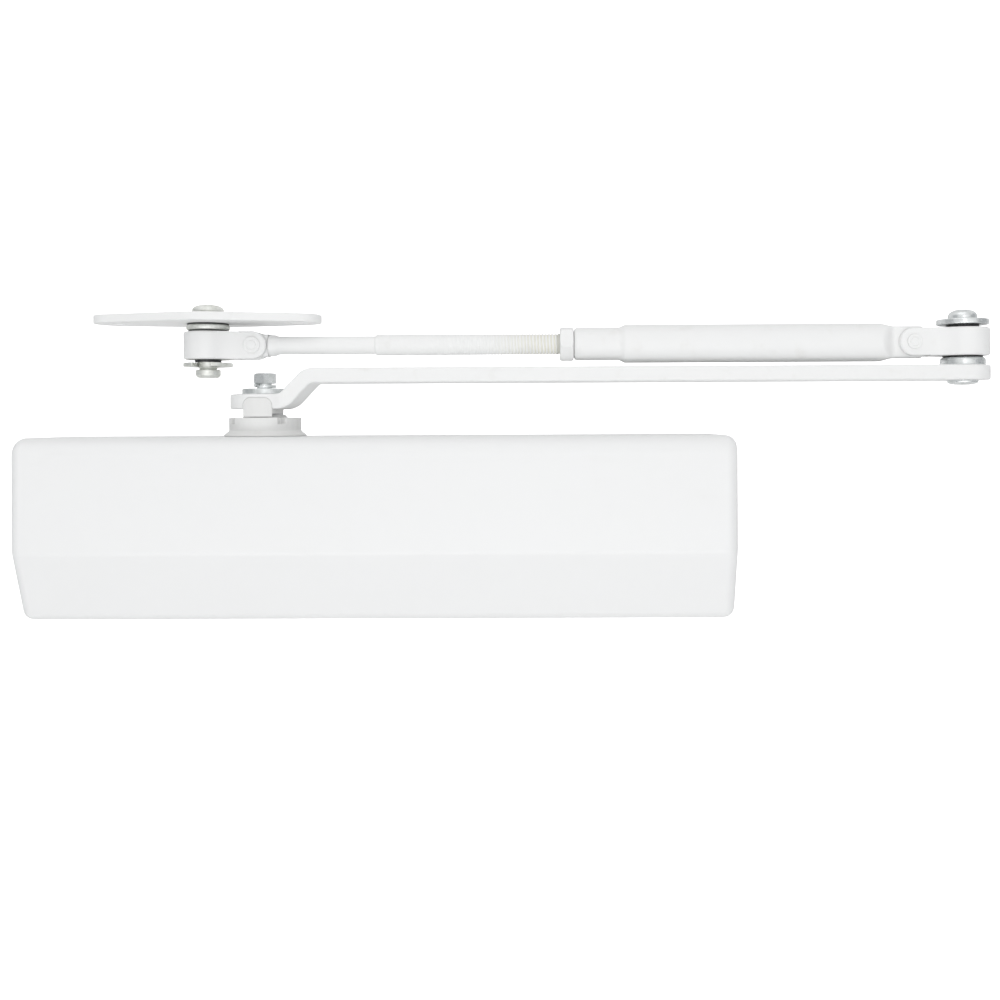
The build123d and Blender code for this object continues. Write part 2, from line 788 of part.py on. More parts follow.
def make_elbow_pin():
    """Rivet through the elbow: domed head above, low head below the arm."""
    tail_rim = arm_bottom_z - tail_rim_height
    tail_end = arm_bottom_z - elbow_tail_height
    head_rim = washer_top + head_rim_height
    head_end = washer_top + elbow_head_height
    side = Polyline(
        (elbow_tail_radius, tail_rim), (elbow_tail_radius, arm_bottom_z), (pivot_radius, arm_bottom_z),
        (pivot_radius, washer_top), (elbow_head_radius, washer_top), (elbow_head_radius, head_rim),
    )
    outline = [dome(elbow_tail_radius, tail_rim, tail_end), side, dome(elbow_head_radius, head_rim, head_end),
               Line((0, head_end), (0, tail_end))]
    return turned(outline, elbow_x)


def make_spacer():
    """Spacer ring between the arm and the link, its upper edge rounded."""
    ring = make_ring(spacer_radius, pivot_radius + rivet_fit, arm_top_z, spacer_top, elbow_x)
    rim = ring.edges().filter_by(GeomType.CIRCLE).group_by(Axis.Z)[-1].sort_by(lambda e: e.radius)[-1]
    return fillet(rim, spacer_edge_radius)


def make_elbow_washer():
    """Washer under the rivet's head."""
    ring = make_ring(elbow_washer_radius, pivot_radius + rivet_fit, washer_low, washer_top, elbow_x)
    rims = [e for e in ring.edges().filter_by(GeomType.CIRCLE) if e.radius > pivot_radius + 1]
    return chamfer(rims, elbow_washer_chamfer)


def make_bush(x, radius, flange_up, proud):
    """Bush in the link's eye, with a thin flange on one face."""
    low, high = link_bottom_z, link_top_z
    if flange_up:
        bush = upright(radius, low - proud, high, x)
        bush += upright(bush_flange_radius, high + seat_gap, high + seat_gap + bush_flange_height, x)
        bush += upright(radius, high, high + seat_gap + bush_flange_height, x)
        return bush - upright(pivot_radius + running_gap, low - proud, high + 2, x)
    bush = upright(radius, low, high + proud, x)
    bush += upright(bush_flange_radius, low - seat_gap - bush_flange_height, low - seat_gap, x)
    bush += upright(radius, low - seat_gap - bush_flange_height, low, x)
    return bush - upright(pivot_radius + running_gap, low - 2, high + proud, x)


def make_link(x, side, barrel, bush, rivet_place, half_width, strap, rivet, slot_clearance):
    """Strap bent round a bush: an eye, then two cheeks with round ends, and a slot between them."""
    end_radius = link_half_height
    rivet_x = x + side * rivet_place
    link = upright(barrel, link_bottom_z, link_top_z, x)
    link = fillet(link.edges().filter_by(GeomType.CIRCLE), link_edge)
    y_range = (spindle_y - half_width, spindle_y + half_width)
    cheeks = block((x, rivet_x), y_range, (link_bottom_z, link_top_z))
    cheeks += crosswise(end_radius, y_range[0], y_range[1], rivet_x, forearm_z)
    long_edges = [e for e in cheeks.edges() if abs(abs(e.center().Y - spindle_y) - half_width) < 0.05
                  and (e.center().X - x) * side > 0.5]
    link += fillet(long_edges, cheek_edge)
    slot_start = x + side * (rivet_place - slot_clearance)
    slot = block((slot_start, rivet_x + side * 2 * end_radius), (y_range[0] + strap, y_range[1] - strap),
                 (link_bottom_z - 1, link_top_z + 1))
    link -= slot
    link -= upright(bush + rivet_fit, link_bottom_z, link_top_z, x)
    return link - crosswise(rivet + rivet_fit, y_range[0], y_range[1], rivet_x, forearm_z)


def make_cross_rivet(x, radius, head_radius, half_width):
    """Rivet across the cheeks, with a low ringed head on each side."""
    rivet = crosswise(radius, spindle_y - half_width, spindle_y + half_width, x, forearm_z)
    for side in (-1, 1):
        face = spindle_y + side * half_width
        outer = face + side * rivet_head_height
        rivet += crosswise(head_radius, face, outer, x, forearm_z)
        floor = outer - side * rivet_ring_depth
        rivet -= crosswise(head_radius / 2 + rivet_ring_width, outer, floor, x, forearm_z)
        rivet += crosswise(head_radius / 2, floor, outer, x, forearm_z)
    return rivet


# Forearm

elbow_rivet_x = elbow_x - elbow_rivet_from_pin
foot_rivet_x = foot_x + foot_rivet_from_stud
tube_mouth_x = elbow_x - tube_mouth_from_elbow
taper_start_x = elbow_x - tube_taper_from_elbow
taper_end_x = taper_start_x + tube_taper_length


def tang(rivet_x, far_x, half_height, reach, thickness, rivet):
    """Flat tang along X with a round end centred on its rivet, and the rivet's hole."""
    low = spindle_y - thickness / 2
    high = spindle_y + thickness / 2
    flat = crosswise(reach, low, high, rivet_x, forearm_z)
    flat &= block((rivet_x - 2 * reach, rivet_x + 2 * reach), (low, high),
                  (forearm_z - half_height, forearm_z + half_height))
    flat += block((rivet_x, far_x), (low, high), (forearm_z - half_height, forearm_z + half_height))
    return flat - crosswise(rivet + running_gap, low, high, rivet_x, forearm_z)


def make_forearm_tube():
    """Stepped tube with a flattened, rounded end that sits between the elbow's cheeks."""
    step = tube_mouth_x + tube_step_from_mouth
    outline = Polyline(
        (tube_mouth_x, 0), (tube_mouth_x, tube_small_radius - tube_mouth_edge),
        (tube_mouth_x + tube_mouth_edge / 3, tube_small_radius - tube_mouth_edge / 3),
        (tube_mouth_x + tube_mouth_edge, tube_small_radius), (step, tube_small_radius),
        (step + tube_step_length, tube_large_radius), (taper_start_x, tube_large_radius), (taper_start_x, 0),
        close=True,
    )
    tube = turned_along_x(outline, spindle_y, forearm_z)
    thickness = 2 * (elbow_cheek_half_width - elbow_strap - tang_gap)
    frame = Plane((taper_start_x, spindle_y, forearm_z), x_dir=(0, 1, 0), z_dir=(1, 0, 0))
    flat_frame = Plane((taper_end_x, spindle_y, forearm_z), x_dir=(0, 1, 0), z_dir=(1, 0, 0))
    flattening = loft([frame * Circle(tube_large_radius),
                       flat_frame * RectangleRounded(thickness, 2 * tang_half_height, thickness / 5)])
    tube += flattening
    tube += tang(elbow_rivet_x, taper_end_x, tang_half_height, tang_reach, thickness, elbow_rivet_radius)
    bore_end = tube_mouth_x + tube_bore_depth
    return tube - lying(rod_radius + running_gap, tube_mouth_x, bore_end, spindle_y, forearm_z)


def make_locknut():
    """Hexagon nut against the tube's mouth, chamfered on both faces."""
    end = tube_mouth_x - locknut_gap
    start = end - locknut_thickness
    corner = locknut_across_flats / 2 / cos(pi / 6)
    frame = Plane((start, spindle_y, forearm_z), x_dir=(0, -1, 0), z_dir=(1, 0, 0))
    nut = extrude(frame * (Rot(0, 0, locknut_turn_angle) * RegularPolygon(corner, 6)), amount=locknut_thickness)
    cut = locknut_chamfer
    face_radius = corner - cut * sqrt(3)
    crown = turned_along_x(Polyline((start, 0), (start, face_radius), (start + cut, corner), (end - cut, corner),
                                    (end, face_radius), (end, 0), close=True), spindle_y, forearm_z)
    return (nut & crown) - lying(rod_radius + running_gap, start, end, spindle_y, forearm_z)


def make_adjuster_rod():
    """Threaded rod with a thinner shank, a small collar and a tang between the foot's cheeks."""
    collar_start = foot_rivet_x + link_half_height + cover_fit
    collar_end = collar_start + rod_collar_length
    thread_start = foot_x + thread_from_foot
    rod_end = tube_mouth_x + thread_in_tube
    outline = Polyline(
        (collar_start, 0), (collar_start, rod_collar_radius - rod_edge), (collar_start + rod_edge, rod_collar_radius),
        (collar_end - 2 * rod_edge, rod_collar_radius), (collar_end, shank_radius), (thread_start, shank_radius),
        (thread_start + rod_radius - shank_radius, rod_radius), (rod_end - rod_radius + shank_radius, rod_radius),
        (rod_end, shank_radius), (rod_end, 0),
        close=True,
    )
    rod = turned_along_x(outline, spindle_y, forearm_z)
    thickness = 2 * (foot_cheek_half_width - foot_strap - tang_gap)
    return rod + tang(foot_rivet_x, collar_start + rod_edge, rod_tang_half_height, rod_tang_radius, thickness,
                      foot_rivet_radius)


# Foot

foot_flange_top = link_top_z + seat_gap + bush_flange_height
foot_washer_low = foot_flange_top + seat_gap
foot_washer_top = foot_washer_low + foot_washer_thickness
foot_plate_low = foot_washer_top + foot_shoulder_height
foot_plate_top = foot_plate_low + foot_plate_thickness
clip_top = link_bottom_z - foot_bush_proud - clip_gap
clip_low = clip_top - clip_thickness
stud_tip_top = clip_low - stud_neck_height


def make_foot_plate():
    """Plate with a wide middle and two narrow round ends, each with a screw hole."""
    reach = foot_hole_spacing / 2
    lean = acos((foot_plate_radius - foot_end_radius) / reach)
    corners = []
    for side, up in ((1, 1), (1, -1), (-1, -1), (-1, 1)):
        for middle, radius in ((0, foot_plate_radius), (side * reach, foot_end_radius)):
            corners.append((middle + side * radius * cos(lean), up * radius * sin(lean)))
    order = [corners[i] for i in (0, 1, 3, 2, 4, 5, 7, 6)]
    plan = make_face(Polyline(*order, close=True)) + Circle(foot_plate_radius)
    for side in (-1, 1):
        plan += Pos(side * reach, 0) * Circle(foot_end_radius)
    plate = Pos(foot_x, spindle_y, foot_plate_low) * extrude(plan, amount=foot_plate_thickness)
    rims = plate.faces().sort_by(Axis.Z)[-1].edges() + plate.faces().sort_by(Axis.Z)[0].edges()
    plate = fillet(rims, foot_plate_edge)
    plate -= upright(pivot_radius + rivet_fit, foot_plate_low, foot_plate_top, foot_x)
    for side in (-1, 1):
        plate -= upright(foot_hole_radius, foot_plate_low, foot_plate_top, foot_x + side * reach)
    return plate


def make_foot_stud():
    """Stud: domed head, shoulder under the plate, groove for the clip and a chamfered tip."""
    tip_low = stud_tip_top - stud_tip_height
    head_rim = foot_plate_top + head_rim_height
    head_end = foot_plate_top + foot_head_height
    side = Polyline(
        (0, tip_low), (stud_tip_radius - stud_tip_chamfer, tip_low), (stud_tip_radius, tip_low + stud_tip_chamfer),
        (stud_tip_radius, stud_tip_top - stud_edge), (stud_tip_radius - stud_edge, stud_tip_top),
        (stud_waist_radius, stud_tip_top), (stud_neck_radius, clip_low), (groove_radius, clip_low),
        (groove_radius, clip_top), (pivot_radius, clip_top),
        (pivot_radius, foot_washer_top), (foot_shoulder_radius, foot_washer_top),
        (foot_shoulder_radius, foot_plate_low), (pivot_radius, foot_plate_low), (pivot_radius, foot_plate_top),
        (foot_head_radius, foot_plate_top), (foot_head_radius, head_rim),
    )
    return turned([side, dome(foot_head_radius, head_rim, head_end), Line((0, head_end), (0, tip_low))], foot_x)


def make_foot_washer():
    """Rounded washer between the bush's flange and the stud's shoulder."""
    top = foot_washer_top - seat_gap
    ring = make_ring(foot_washer_radius, pivot_radius + rivet_fit, foot_washer_low, top, foot_x)
    rims = [e for e in ring.edges().filter_by(GeomType.CIRCLE) if e.radius > pivot_radius + 1]
    return fillet(rims, foot_washer_edge)


def make_foot_clip():
    """Retaining clip in the stud's groove, open towards the front."""
    low = clip_low + rivet_fit
    ring = make_ring(clip_radius, groove_radius + running_gap, low, clip_top - rivet_fit, foot_x)
    half = clip_opening / 2
    ring -= block((foot_x - half, foot_x + half), (spindle_y - clip_radius, spindle_y), (clip_low, clip_top))
    for side in (-1, 1):
        place = Rot(0, 0, side * clip_window_turn) * Pos(0, (clip_radius + groove_radius) / 2, 0)
        ring -= Pos(foot_x, spindle_y, low) * place * Cylinder(clip_window_radius, 4 * clip_thickness)
    return ring


def make_cover_clips():
    """Two bent leaf clips between the back plate and the cover's end walls."""
    clips = []
    wall = cover_length / 2 - cover_wall
    for side in (-1, 1):
        foot_start = side * (plate_length / 2 - clip_leaf_foot)
        inner = side * (wall - cover_fit - clip_leaf)
        outer = side * (wall - cover_fit)
        half = clip_leaf_width / 2
        foot = block((foot_start, outer), (-plate_thickness - clip_leaf, -plate_thickness), (-half, half))
        leaf = block((inner, outer), (-plate_thickness - clip_leaf_height, -plate_thickness), (-half, half))
        clips.append(foot + leaf)
    return Compound(clips)


# Every piece, written under its own name

save(make_cover(), "cover")
save(make_casting(), "body_casting")
save(make_cover_clips(), "cover_clips")
save(make_end_cap(-1, None), "left_end_cap")
save(make_end_cap(1, power_screw_radius + running_gap), "right_end_cap")
save(make_cap_seals(), "end_cap_seals")
bearing_low = thrust_collar_low + thrust_collar_height + seat_gap
seal_top = cover_top - nut_thread_length - seat_gap
seal_low = seal_top - seal_height
ring_outer = cross_bore_radius - rivet_fit
ring_hole = shaft_radius + running_gap
save(make_ring(ring_outer, ring_hole, bearing_low, seal_low - seat_gap), "upper_bearing")
lower_bearing_low = casting_floor + nut_thread_length + seat_gap
save(make_ring(ring_outer, ring_hole, lower_bearing_low, -bearing_low), "lower_bearing")
save(make_ring(ring_outer, ring_hole, seal_low, seal_top), "shaft_seal")
save(make_bearing_nut(), "bearing_nut")
save(make_lower_plug(), "lower_plug")
save(make_valve_screw(-1, front_valve_y), "closing_speed_screw")
save(make_valve_screw(-1, back_valve_y), "latch_speed_screw")
save(make_valve_screw(1, front_valve_y), "backcheck_screw")
save(make_piston(), "rack_piston")
save(lying(valve_seat_radius - rivet_fit, piston_left, ball_seat_face)
     - lying(valve_passage_radius, piston_left, ball_seat_face), "check_valve_seat")
save(Pos(ball_x, spindle_y, 0) * Sphere(ball_radius), "check_ball")
save(make_spring(), "main_spring")
save(make_spring_seat(), "spring_seat")
save(make_power_screw(), "power_adjust_screw")
save(lying(power_collar_radius, ring_inner, cap_inner_face)
     - lying(power_screw_radius + running_gap, ring_inner, cap_inner_face), "thrust_ring")

save(make_pinion_shaft(), "pinion_shaft")
save(make_tab_washer(), "arm_tab_washer")
save(make_main_arm(), "main_arm")
save(make_ring(flat_washer_radius, bolt_radius + washer_fit, hub_top_z + seat_gap,
               hub_top_z + seat_gap + flat_washer_thickness), "arm_flat_washer")
save(make_spring_washer(), "arm_spring_washer")
save(make_bolt(), "arm_bolt")

save(make_elbow_pin(), "elbow_pin")
save(make_spacer(), "elbow_spacer")
save(make_elbow_washer(), "elbow_washer")
save(make_bush(elbow_x, elbow_bush_radius, False, bush_proud), "elbow_bush")
save(make_link(elbow_x, -1, elbow_barrel_radius, elbow_bush_radius, elbow_rivet_from_pin, elbow_cheek_half_width,
               elbow_strap, elbow_rivet_radius, tang_reach + cover_fit), "elbow_link")
save(make_cross_rivet(elbow_rivet_x, elbow_rivet_radius, elbow_rivet_head_radius, elbow_cheek_half_width),
     "elbow_cross_rivet")

save(make_forearm_tube(), "forearm_tube")
save(make_locknut(), "locknut")
save(make_adjuster_rod(), "adjuster_rod")

save(make_link(foot_x, 1, foot_barrel_radius, foot_bush_radius, foot_rivet_from_stud, foot_cheek_half_width,
               foot_strap, foot_rivet_radius, rod_tang_radius + cover_fit), "foot_link")
save(make_bush(foot_x, foot_bush_radius, True, foot_bush_proud), "foot_bush")
save(make_cross_rivet(foot_rivet_x, foot_rivet_radius, foot_rivet_head_radius, foot_cheek_half_width),
     "foot_cross_rivet")
save(make_foot_plate(), "foot_plate")
save(make_foot_stud(), "foot_stud")
save(make_foot_washer(), "foot_washer")
save(make_foot_clip(), "foot_clip")
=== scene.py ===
# %% [markdown]
# # A white overhead door closer with its arm folded over it
#
# The closer hangs on a door. A long moulded cover hides an oil-filled body, and a spindle comes out of its
# top through a slotted nut. A cranked bar, the main arm, is bolted to the spindle. Its far end carries a
# riveted elbow, from which a tubular forearm comes back over the bar and ends in a small plate for the door
# frame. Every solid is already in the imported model, so this script does three things. It gives each solid
# its finish, it replaces the turned and threaded pieces by finer surfaces, and it sets up a white studio.

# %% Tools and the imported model
import json
import math

import bmesh
import bpy
import numpy as np
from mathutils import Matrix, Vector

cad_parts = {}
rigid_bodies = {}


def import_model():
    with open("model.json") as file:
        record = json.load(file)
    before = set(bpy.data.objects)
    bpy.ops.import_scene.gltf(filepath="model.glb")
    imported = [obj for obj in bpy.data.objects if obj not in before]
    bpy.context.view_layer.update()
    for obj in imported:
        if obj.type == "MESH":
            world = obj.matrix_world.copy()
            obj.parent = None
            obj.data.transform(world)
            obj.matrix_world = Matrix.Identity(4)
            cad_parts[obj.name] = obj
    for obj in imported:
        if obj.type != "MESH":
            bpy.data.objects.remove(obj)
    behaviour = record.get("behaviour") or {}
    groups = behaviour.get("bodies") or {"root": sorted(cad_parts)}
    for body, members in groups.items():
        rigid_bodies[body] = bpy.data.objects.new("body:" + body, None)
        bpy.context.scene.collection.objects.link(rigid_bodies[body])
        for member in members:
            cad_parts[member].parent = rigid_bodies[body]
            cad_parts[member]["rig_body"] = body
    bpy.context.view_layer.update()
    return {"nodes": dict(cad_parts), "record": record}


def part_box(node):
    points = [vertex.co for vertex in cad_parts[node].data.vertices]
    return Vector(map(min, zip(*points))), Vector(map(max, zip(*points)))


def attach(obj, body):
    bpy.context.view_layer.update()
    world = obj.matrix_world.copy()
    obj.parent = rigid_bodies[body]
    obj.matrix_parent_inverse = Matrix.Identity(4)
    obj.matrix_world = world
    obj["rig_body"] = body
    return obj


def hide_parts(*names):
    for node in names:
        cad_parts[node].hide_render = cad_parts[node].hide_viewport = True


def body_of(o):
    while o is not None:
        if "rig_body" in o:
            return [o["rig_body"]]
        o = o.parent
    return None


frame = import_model()
MM = 0.001
scene = bpy.context.scene
scene.view_settings.view_transform = "Standard"

# %% [markdown]
# ## The camera
#
# The picture is taken level, from 45 cm in front of the door and a little above the cover's top, between
# the cover and the arm. So the washers and the arm are seen from slightly below, and the top of the cover
# is almost a line. The lens looks straight ahead and is shifted, which keeps the long edges parallel, as a
# product photographer does. The two small turns are those of a camera that stands half a degree askew.

# %% Camera
PICTURE = 1000
camera_place = (0.0633, -0.4500, 0.0392)
focal_pixels = 1109.3
camera_yaw = math.radians(0.5)
camera_roll = math.radians(0.27)
axis_pixel = (537.6, 421.4)

camera_data = bpy.data.cameras.new("camera")
camera_data.sensor_width = 36.0
camera_data.lens = focal_pixels / PICTURE * camera_data.sensor_width
camera_data.shift_x = (PICTURE / 2 - axis_pixel[0]) / PICTURE
camera_data.shift_y = (axis_pixel[1] - PICTURE / 2) / PICTURE
camera_data.clip_start = 0.01
camera = bpy.data.objects.new("camera", camera_data)
camera.location = camera_place
camera.rotation_euler = (math.radians(90), camera_roll, camera_yaw)
scene.collection.objects.link(camera)
scene.camera = camera
print("lens", round(camera_data.lens, 2), "mm")

# %% [markdown]
# ## Writing materials as sums
#
# A finish is a network of nodes. Drawn by hand it soon becomes unreadable, so a small class wraps an output
# socket and lets Python's own signs add the Math nodes: `1 - mask * 0.2` reads as what it does. Any other
# node comes from one method that takes its type, its settings and what is plugged into it.


# %% A socket that can be added and multiplied
class Signal:
    """One output of a node; + - * / and ** on it add Math nodes."""

    def __init__(self, recipe, socket):
        self.recipe = recipe
        self.socket = socket

    def _math(self, operation, first, second):
        return self.recipe.node("ShaderNodeMath", {"operation": operation}, {0: first, 1: second})

    def __add__(self, other):
        return self._math("ADD", self, other)

    def __radd__(self, other):
        return self._math("ADD", other, self)

    def __sub__(self, other):
        return self._math("SUBTRACT", self, other)

    def __rsub__(self, other):
        return self._math("SUBTRACT", other, self)

    def __mul__(self, other):
        return self._math("MULTIPLY", self, other)

    def __rmul__(self, other):
        return self._math("MULTIPLY", other, self)

    def __truediv__(self, other):
        return self._math("DIVIDE", self, other)

    def __pow__(self, other):
        return self._math("POWER", self, other)


class Recipe:
    """One material's node tree, with a Principled shader that the finish plugs into."""

    def __init__(self, name, color, **constants):
        self.material = bpy.data.materials.new(name)
        self.material.use_nodes = True
        self.tree = self.material.node_tree
        self.shader = self.tree.nodes["Principled BSDF"]
        self.shader.inputs["Base Color"].default_value = (*color, 1.0)
        for socket, value in constants.items():
            self.shader.inputs[socket.replace("_", " ")].default_value = value

    def node(self, kind, settings=None, inputs=None, output=0):
        """Adds a node: settings first, then a number or a link for each named or numbered input."""
        made = self.tree.nodes.new(kind)
        for key, value in (settings or {}).items():
            setattr(made, key, value)
        for key, value in (inputs or {}).items():
            if isinstance(value, Signal):
                self.tree.links.new(value.socket, made.inputs[key])
            else:
                made.inputs[key].default_value = value
        return Signal(self, made.outputs[output])

    def feed(self, socket, signal):
        self.tree.links.new(signal.socket, self.shader.inputs[socket])

    def place(self, scale=(1, 1, 1), coordinate="Object"):
        """Object coordinates in metres, or the piece's own UV map, stretched by scale."""
        source = self.node("ShaderNodeTexCoord", output=coordinate)
        return self.node("ShaderNodeMapping", None, {"Vector": source, "Scale": scale})

    def noise(self, scale, detail=3.0, stretch=(1, 1, 1), coordinate="Object"):
        """Cloudy noise from 0 to 1; scale is in features per metre."""
        place = self.place(stretch, coordinate)
        return self.node("ShaderNodeTexNoise", None, {"Vector": place, "Scale": scale, "Detail": detail})

    def between(self, mask, low, high, wide_low=0.0, wide_high=1.0):
        """The mask's span from low to high, spread to wide_low and wide_high, smooth at both ends."""
        settings = {"interpolation_type": "SMOOTHSTEP"}
        inputs = {"Value": mask, "From Min": low, "From Max": high, "To Min": wide_low, "To Max": wide_high}
        return self.node("ShaderNodeMapRange", settings, inputs)

    def blend(self, mask, first, second):
        """A colour that goes from first to second with the mask."""
        inputs = {"Factor": mask}
        for slot, color in ((6, first), (7, second)):
            inputs[slot] = color if isinstance(color, Signal) else (*color, 1.0)
        return self.node("ShaderNodeMix", {"data_type": "RGBA"}, inputs, output=2)

    def bump(self, height, strength, distance):
        """Lets a height signal tilt the surface; distance is in metres."""
        inputs = {"Height": height, "Strength": strength, "Distance": distance}
        self.feed("Normal", self.node("ShaderNodeBump", None, inputs))


finishes = {}


def finish_done(slot, recipe):
    finishes[slot] = recipe.material
    print("finish:", slot, "-", len(recipe.tree.nodes), "nodes")


# %% [markdown]
# ## Powder coat
#
# Powder coat is a polyester powder that is sprayed on dry and melted in an oven. It flows out into a skin
# with a faint orange-peel ripple of about a millimetre, thinner on sharp edges. A bump from two sizes of
# noise gives the ripple, and a little change in colour and roughness stands for the flow and for handling.


# %% White powder coat on the arm, the links, the tube and the plate
def coat(name, color, dirt, roughness, ripple):
    """Powder coat: base colour, colour of its handling marks, mean roughness and height of the ripple."""
    paint = Recipe(name, color, Roughness=roughness, IOR=1.5)
    flow = paint.noise(45.0, 4.0)
    specks = paint.between(paint.noise(2600.0, 2.0), 0.68, 0.78)
    marks = paint.between(paint.noise(160.0, 6.0), 0.56, 0.8)
    shade = paint.blend(flow * 0.55, color, tuple(c * 0.975 for c in color))
    shade = paint.blend(marks * 0.35, shade, dirt)
    shade = paint.blend(specks * 0.3, shade, dirt)
    paint.feed("Base Color", shade)
    paint.feed("Roughness", roughness + (flow - 0.5) * 0.12 + marks * 0.08)
    peel = paint.noise(900.0, 2.0) * 0.7 + paint.noise(3200.0, 1.0) * 0.3
    paint.bump(peel, 0.35, ripple)
    return paint


white, handled_white = (0.885, 0.89, 0.888), (0.76, 0.755, 0.73)
grey, handled_grey = (0.8, 0.803, 0.795), (0.66, 0.65, 0.62)
finish_done("white_paint", coat("white_powder_coat", white, handled_white, 0.42, 0.00004))
finish_done("grey_paint", coat("thin_grey_coat", grey, handled_grey, 0.46, 0.00005))

# %% [markdown]
# ### Paint on a thread
#
# The adjuster rod was painted with its nut on, and the nut has since been turned to and fro. So the paint
# is whole near the foot and thins out in the grooves towards the nut, where yellowish zinc shows. Where the
# nut sits, a dull darker ring is painted: partly grease, partly painted shade where the nut's face meets the
# rod. The mesh carries the depth of its groove as an attribute, and X runs along the rod.

# %% Worn paint on the adjuster's thread
thread_paint = coat("painted_thread", white, handled_white, 0.42, 0.00002)
groove = thread_paint.node("ShaderNodeAttribute", {"attribute_name": "groove"}, output=2)
rod_place = thread_paint.node("ShaderNodeTexCoord", output=3)
rod_x = thread_paint.node("ShaderNodeSeparateXYZ", None, {0: rod_place})
patches = thread_paint.noise(260.0, 4.0)
near_nut = thread_paint.between(rod_x, 0.036, 0.066)
bare = near_nut * thread_paint.between(groove * 0.7 + patches * 0.6, 0.45, 0.85)
# Painted shade with grease: a dull darker ring where the nut's face meets the rod, for the shade between
# them.
nut_grease_and_shade = thread_paint.between(rod_x, 0.0666, 0.0672)
clean_coat = Signal(thread_paint, thread_paint.shader.inputs["Base Color"].links[0].from_socket)
worn = thread_paint.blend(bare * 0.7, clean_coat, (0.74, 0.72, 0.6))
# The ring's colour stands for grease and for the painted shade at the nut's face.
thread_paint.feed("Base Color", thread_paint.blend(nut_grease_and_shade * 0.8, worn, (0.62, 0.62, 0.57)))
finish_done("painted_thread", thread_paint)

# %% [markdown]
# ## The moulded cover
#
# The cover is a white engineering plastic from a polished mould: its colour goes all through, its gloss is
# even, and it shows only a fine eroded grain. The grain is noise a few tenths of a millimetre wide, and
# long soft streaks of flow run along the cover, where the plastic filled the mould from the middle to the
# ends.

# %% White moulding
moulding = Recipe("white_moulding", (0.865, 0.87, 0.872), Roughness=0.36, IOR=1.49)
flow_lines = moulding.noise(30.0, 3.0, stretch=(0.15, 1, 1))
grain = moulding.noise(4200.0, 2.0)
scuffs = moulding.between(moulding.noise(90.0, 8.0, stretch=(0.4, 1, 1)), 0.6, 0.85)
mould_color = moulding.blend(flow_lines * 0.5, (0.868, 0.873, 0.875), (0.852, 0.858, 0.858))
moulding.feed("Base Color", moulding.blend(scuffs * 0.25, mould_color, (0.8, 0.8, 0.79)))
moulding.feed("Roughness", 0.33 + flow_lines * 0.06 + scuffs * 0.1)
moulding.bump(grain, 0.2, 0.00002)
finish_done("white_moulding", moulding)

# %% [markdown]
# ## Zinc, ground steel and spring steel
#
# The bolt, the washers and the rivets are steel with bright zinc plate: a bluish mirror with cloudy
# passivation and fine rings left by the lathe. Ground steel is the same metal without the plate, a little
# darker, and the spring's wire is darkened by its oil bath. The foot's pieces have an older zinc, paler and
# rougher. One function makes all of them, because only their numbers differ. The rings follow the piece's
# own UV map: U counts turns and V is the length along the profile, so noise that changes fast along V and
# hardly along U turns into rings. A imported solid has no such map, and its metal has a fine grain instead.


# %% Metals
def metal(name, bright, cloudy, roughness, rings, coordinate="Object"):
    """Metal: clean colour, clouded colour, mean roughness and depth of the tool marks in metres."""
    made = Recipe(name, bright, Metallic=1.0, Roughness=roughness)
    clouds = made.between(made.noise(420.0, 5.0), 0.35, 0.7)
    stains = made.between(made.noise(1500.0, 6.0), 0.55, 0.8)
    tarnish = tuple(value * 0.7 for value in cloudy)
    made.feed("Base Color", made.blend(stains * 0.5, made.blend(clouds, bright, cloudy), tarnish))
    made.feed("Roughness", roughness + clouds * 0.12 + stains * 0.1)
    stretch = (2.0, 2600.0, 1.0) if coordinate == "UV" else (2200.0, 500.0, 2200.0)
    made.bump(made.noise(1.0, 3.0, stretch=stretch, coordinate=coordinate), 0.25, rings)
    return made


zinc_bright, zinc_cloudy = (0.86, 0.885, 0.89), (0.72, 0.745, 0.74)
finish_done("zinc_steel", metal("bright_zinc", zinc_bright, zinc_cloudy, 0.24, 0.00002))
finish_done("turned_zinc", metal("turned_zinc", zinc_bright, zinc_cloudy, 0.26, 0.000008, "UV"))
finish_done("pale_zinc", metal("pale_zinc", (0.9, 0.91, 0.88), (0.8, 0.81, 0.77), 0.48, 0.00002))
finish_done("ground_steel", metal("ground_steel", (0.56, 0.56, 0.57), (0.42, 0.42, 0.42), 0.3, 0.00002))
finish_done("spring_steel", metal("oiled_spring_steel", (0.3, 0.3, 0.31), (0.2, 0.19, 0.18), 0.4, 0.00002))
finish_done("brass", metal("turned_brass", (0.74, 0.58, 0.3), (0.6, 0.44, 0.2), 0.28, 0.00002))

# %% [markdown]
# ## Nylon and rubber
#
# The bushes are black nylon, which wears to a dull polish, and the seals are black rubber. Both are dark,
# so what tells them apart is how rough they are. Dust that has settled in the pores makes them slightly
# uneven.


# %% Black nylon and rubber
def dark_polymer(name, color, roughness, grain_height):
    """A dark plastic or rubber with dust in its grain."""
    made = Recipe(name, color, Roughness=roughness)
    dust = made.between(made.noise(700.0, 5.0), 0.5, 0.8)
    made.feed("Base Color", made.blend(dust * 0.4, color, (0.12, 0.12, 0.12)))
    made.feed("Roughness", roughness + dust * 0.2)
    made.bump(made.noise(5000.0, 2.0), 0.3, grain_height)
    return made


finish_done("black_nylon", dark_polymer("black_nylon", (0.028, 0.028, 0.03), 0.42, 0.00002))
finish_done("black_rubber", dark_polymer("black_rubber", (0.02, 0.02, 0.02), 0.7, 0.00004))

# %% [markdown]
# ## Dressing the solids that stay
#
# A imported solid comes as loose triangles, which render as facets. Welding them and shading smoothly across
# shallow edges brings back its true curves, and splitting at sharp edges keeps those crisp. A pressed
# washer or a clip has no edge that is truly sharp, so such a solid gets a hair-thin bevel, which catches
# the light. All of these are modifiers, so the solid keeps its own mesh. The foot's clip takes the older
# zinc of its stud.

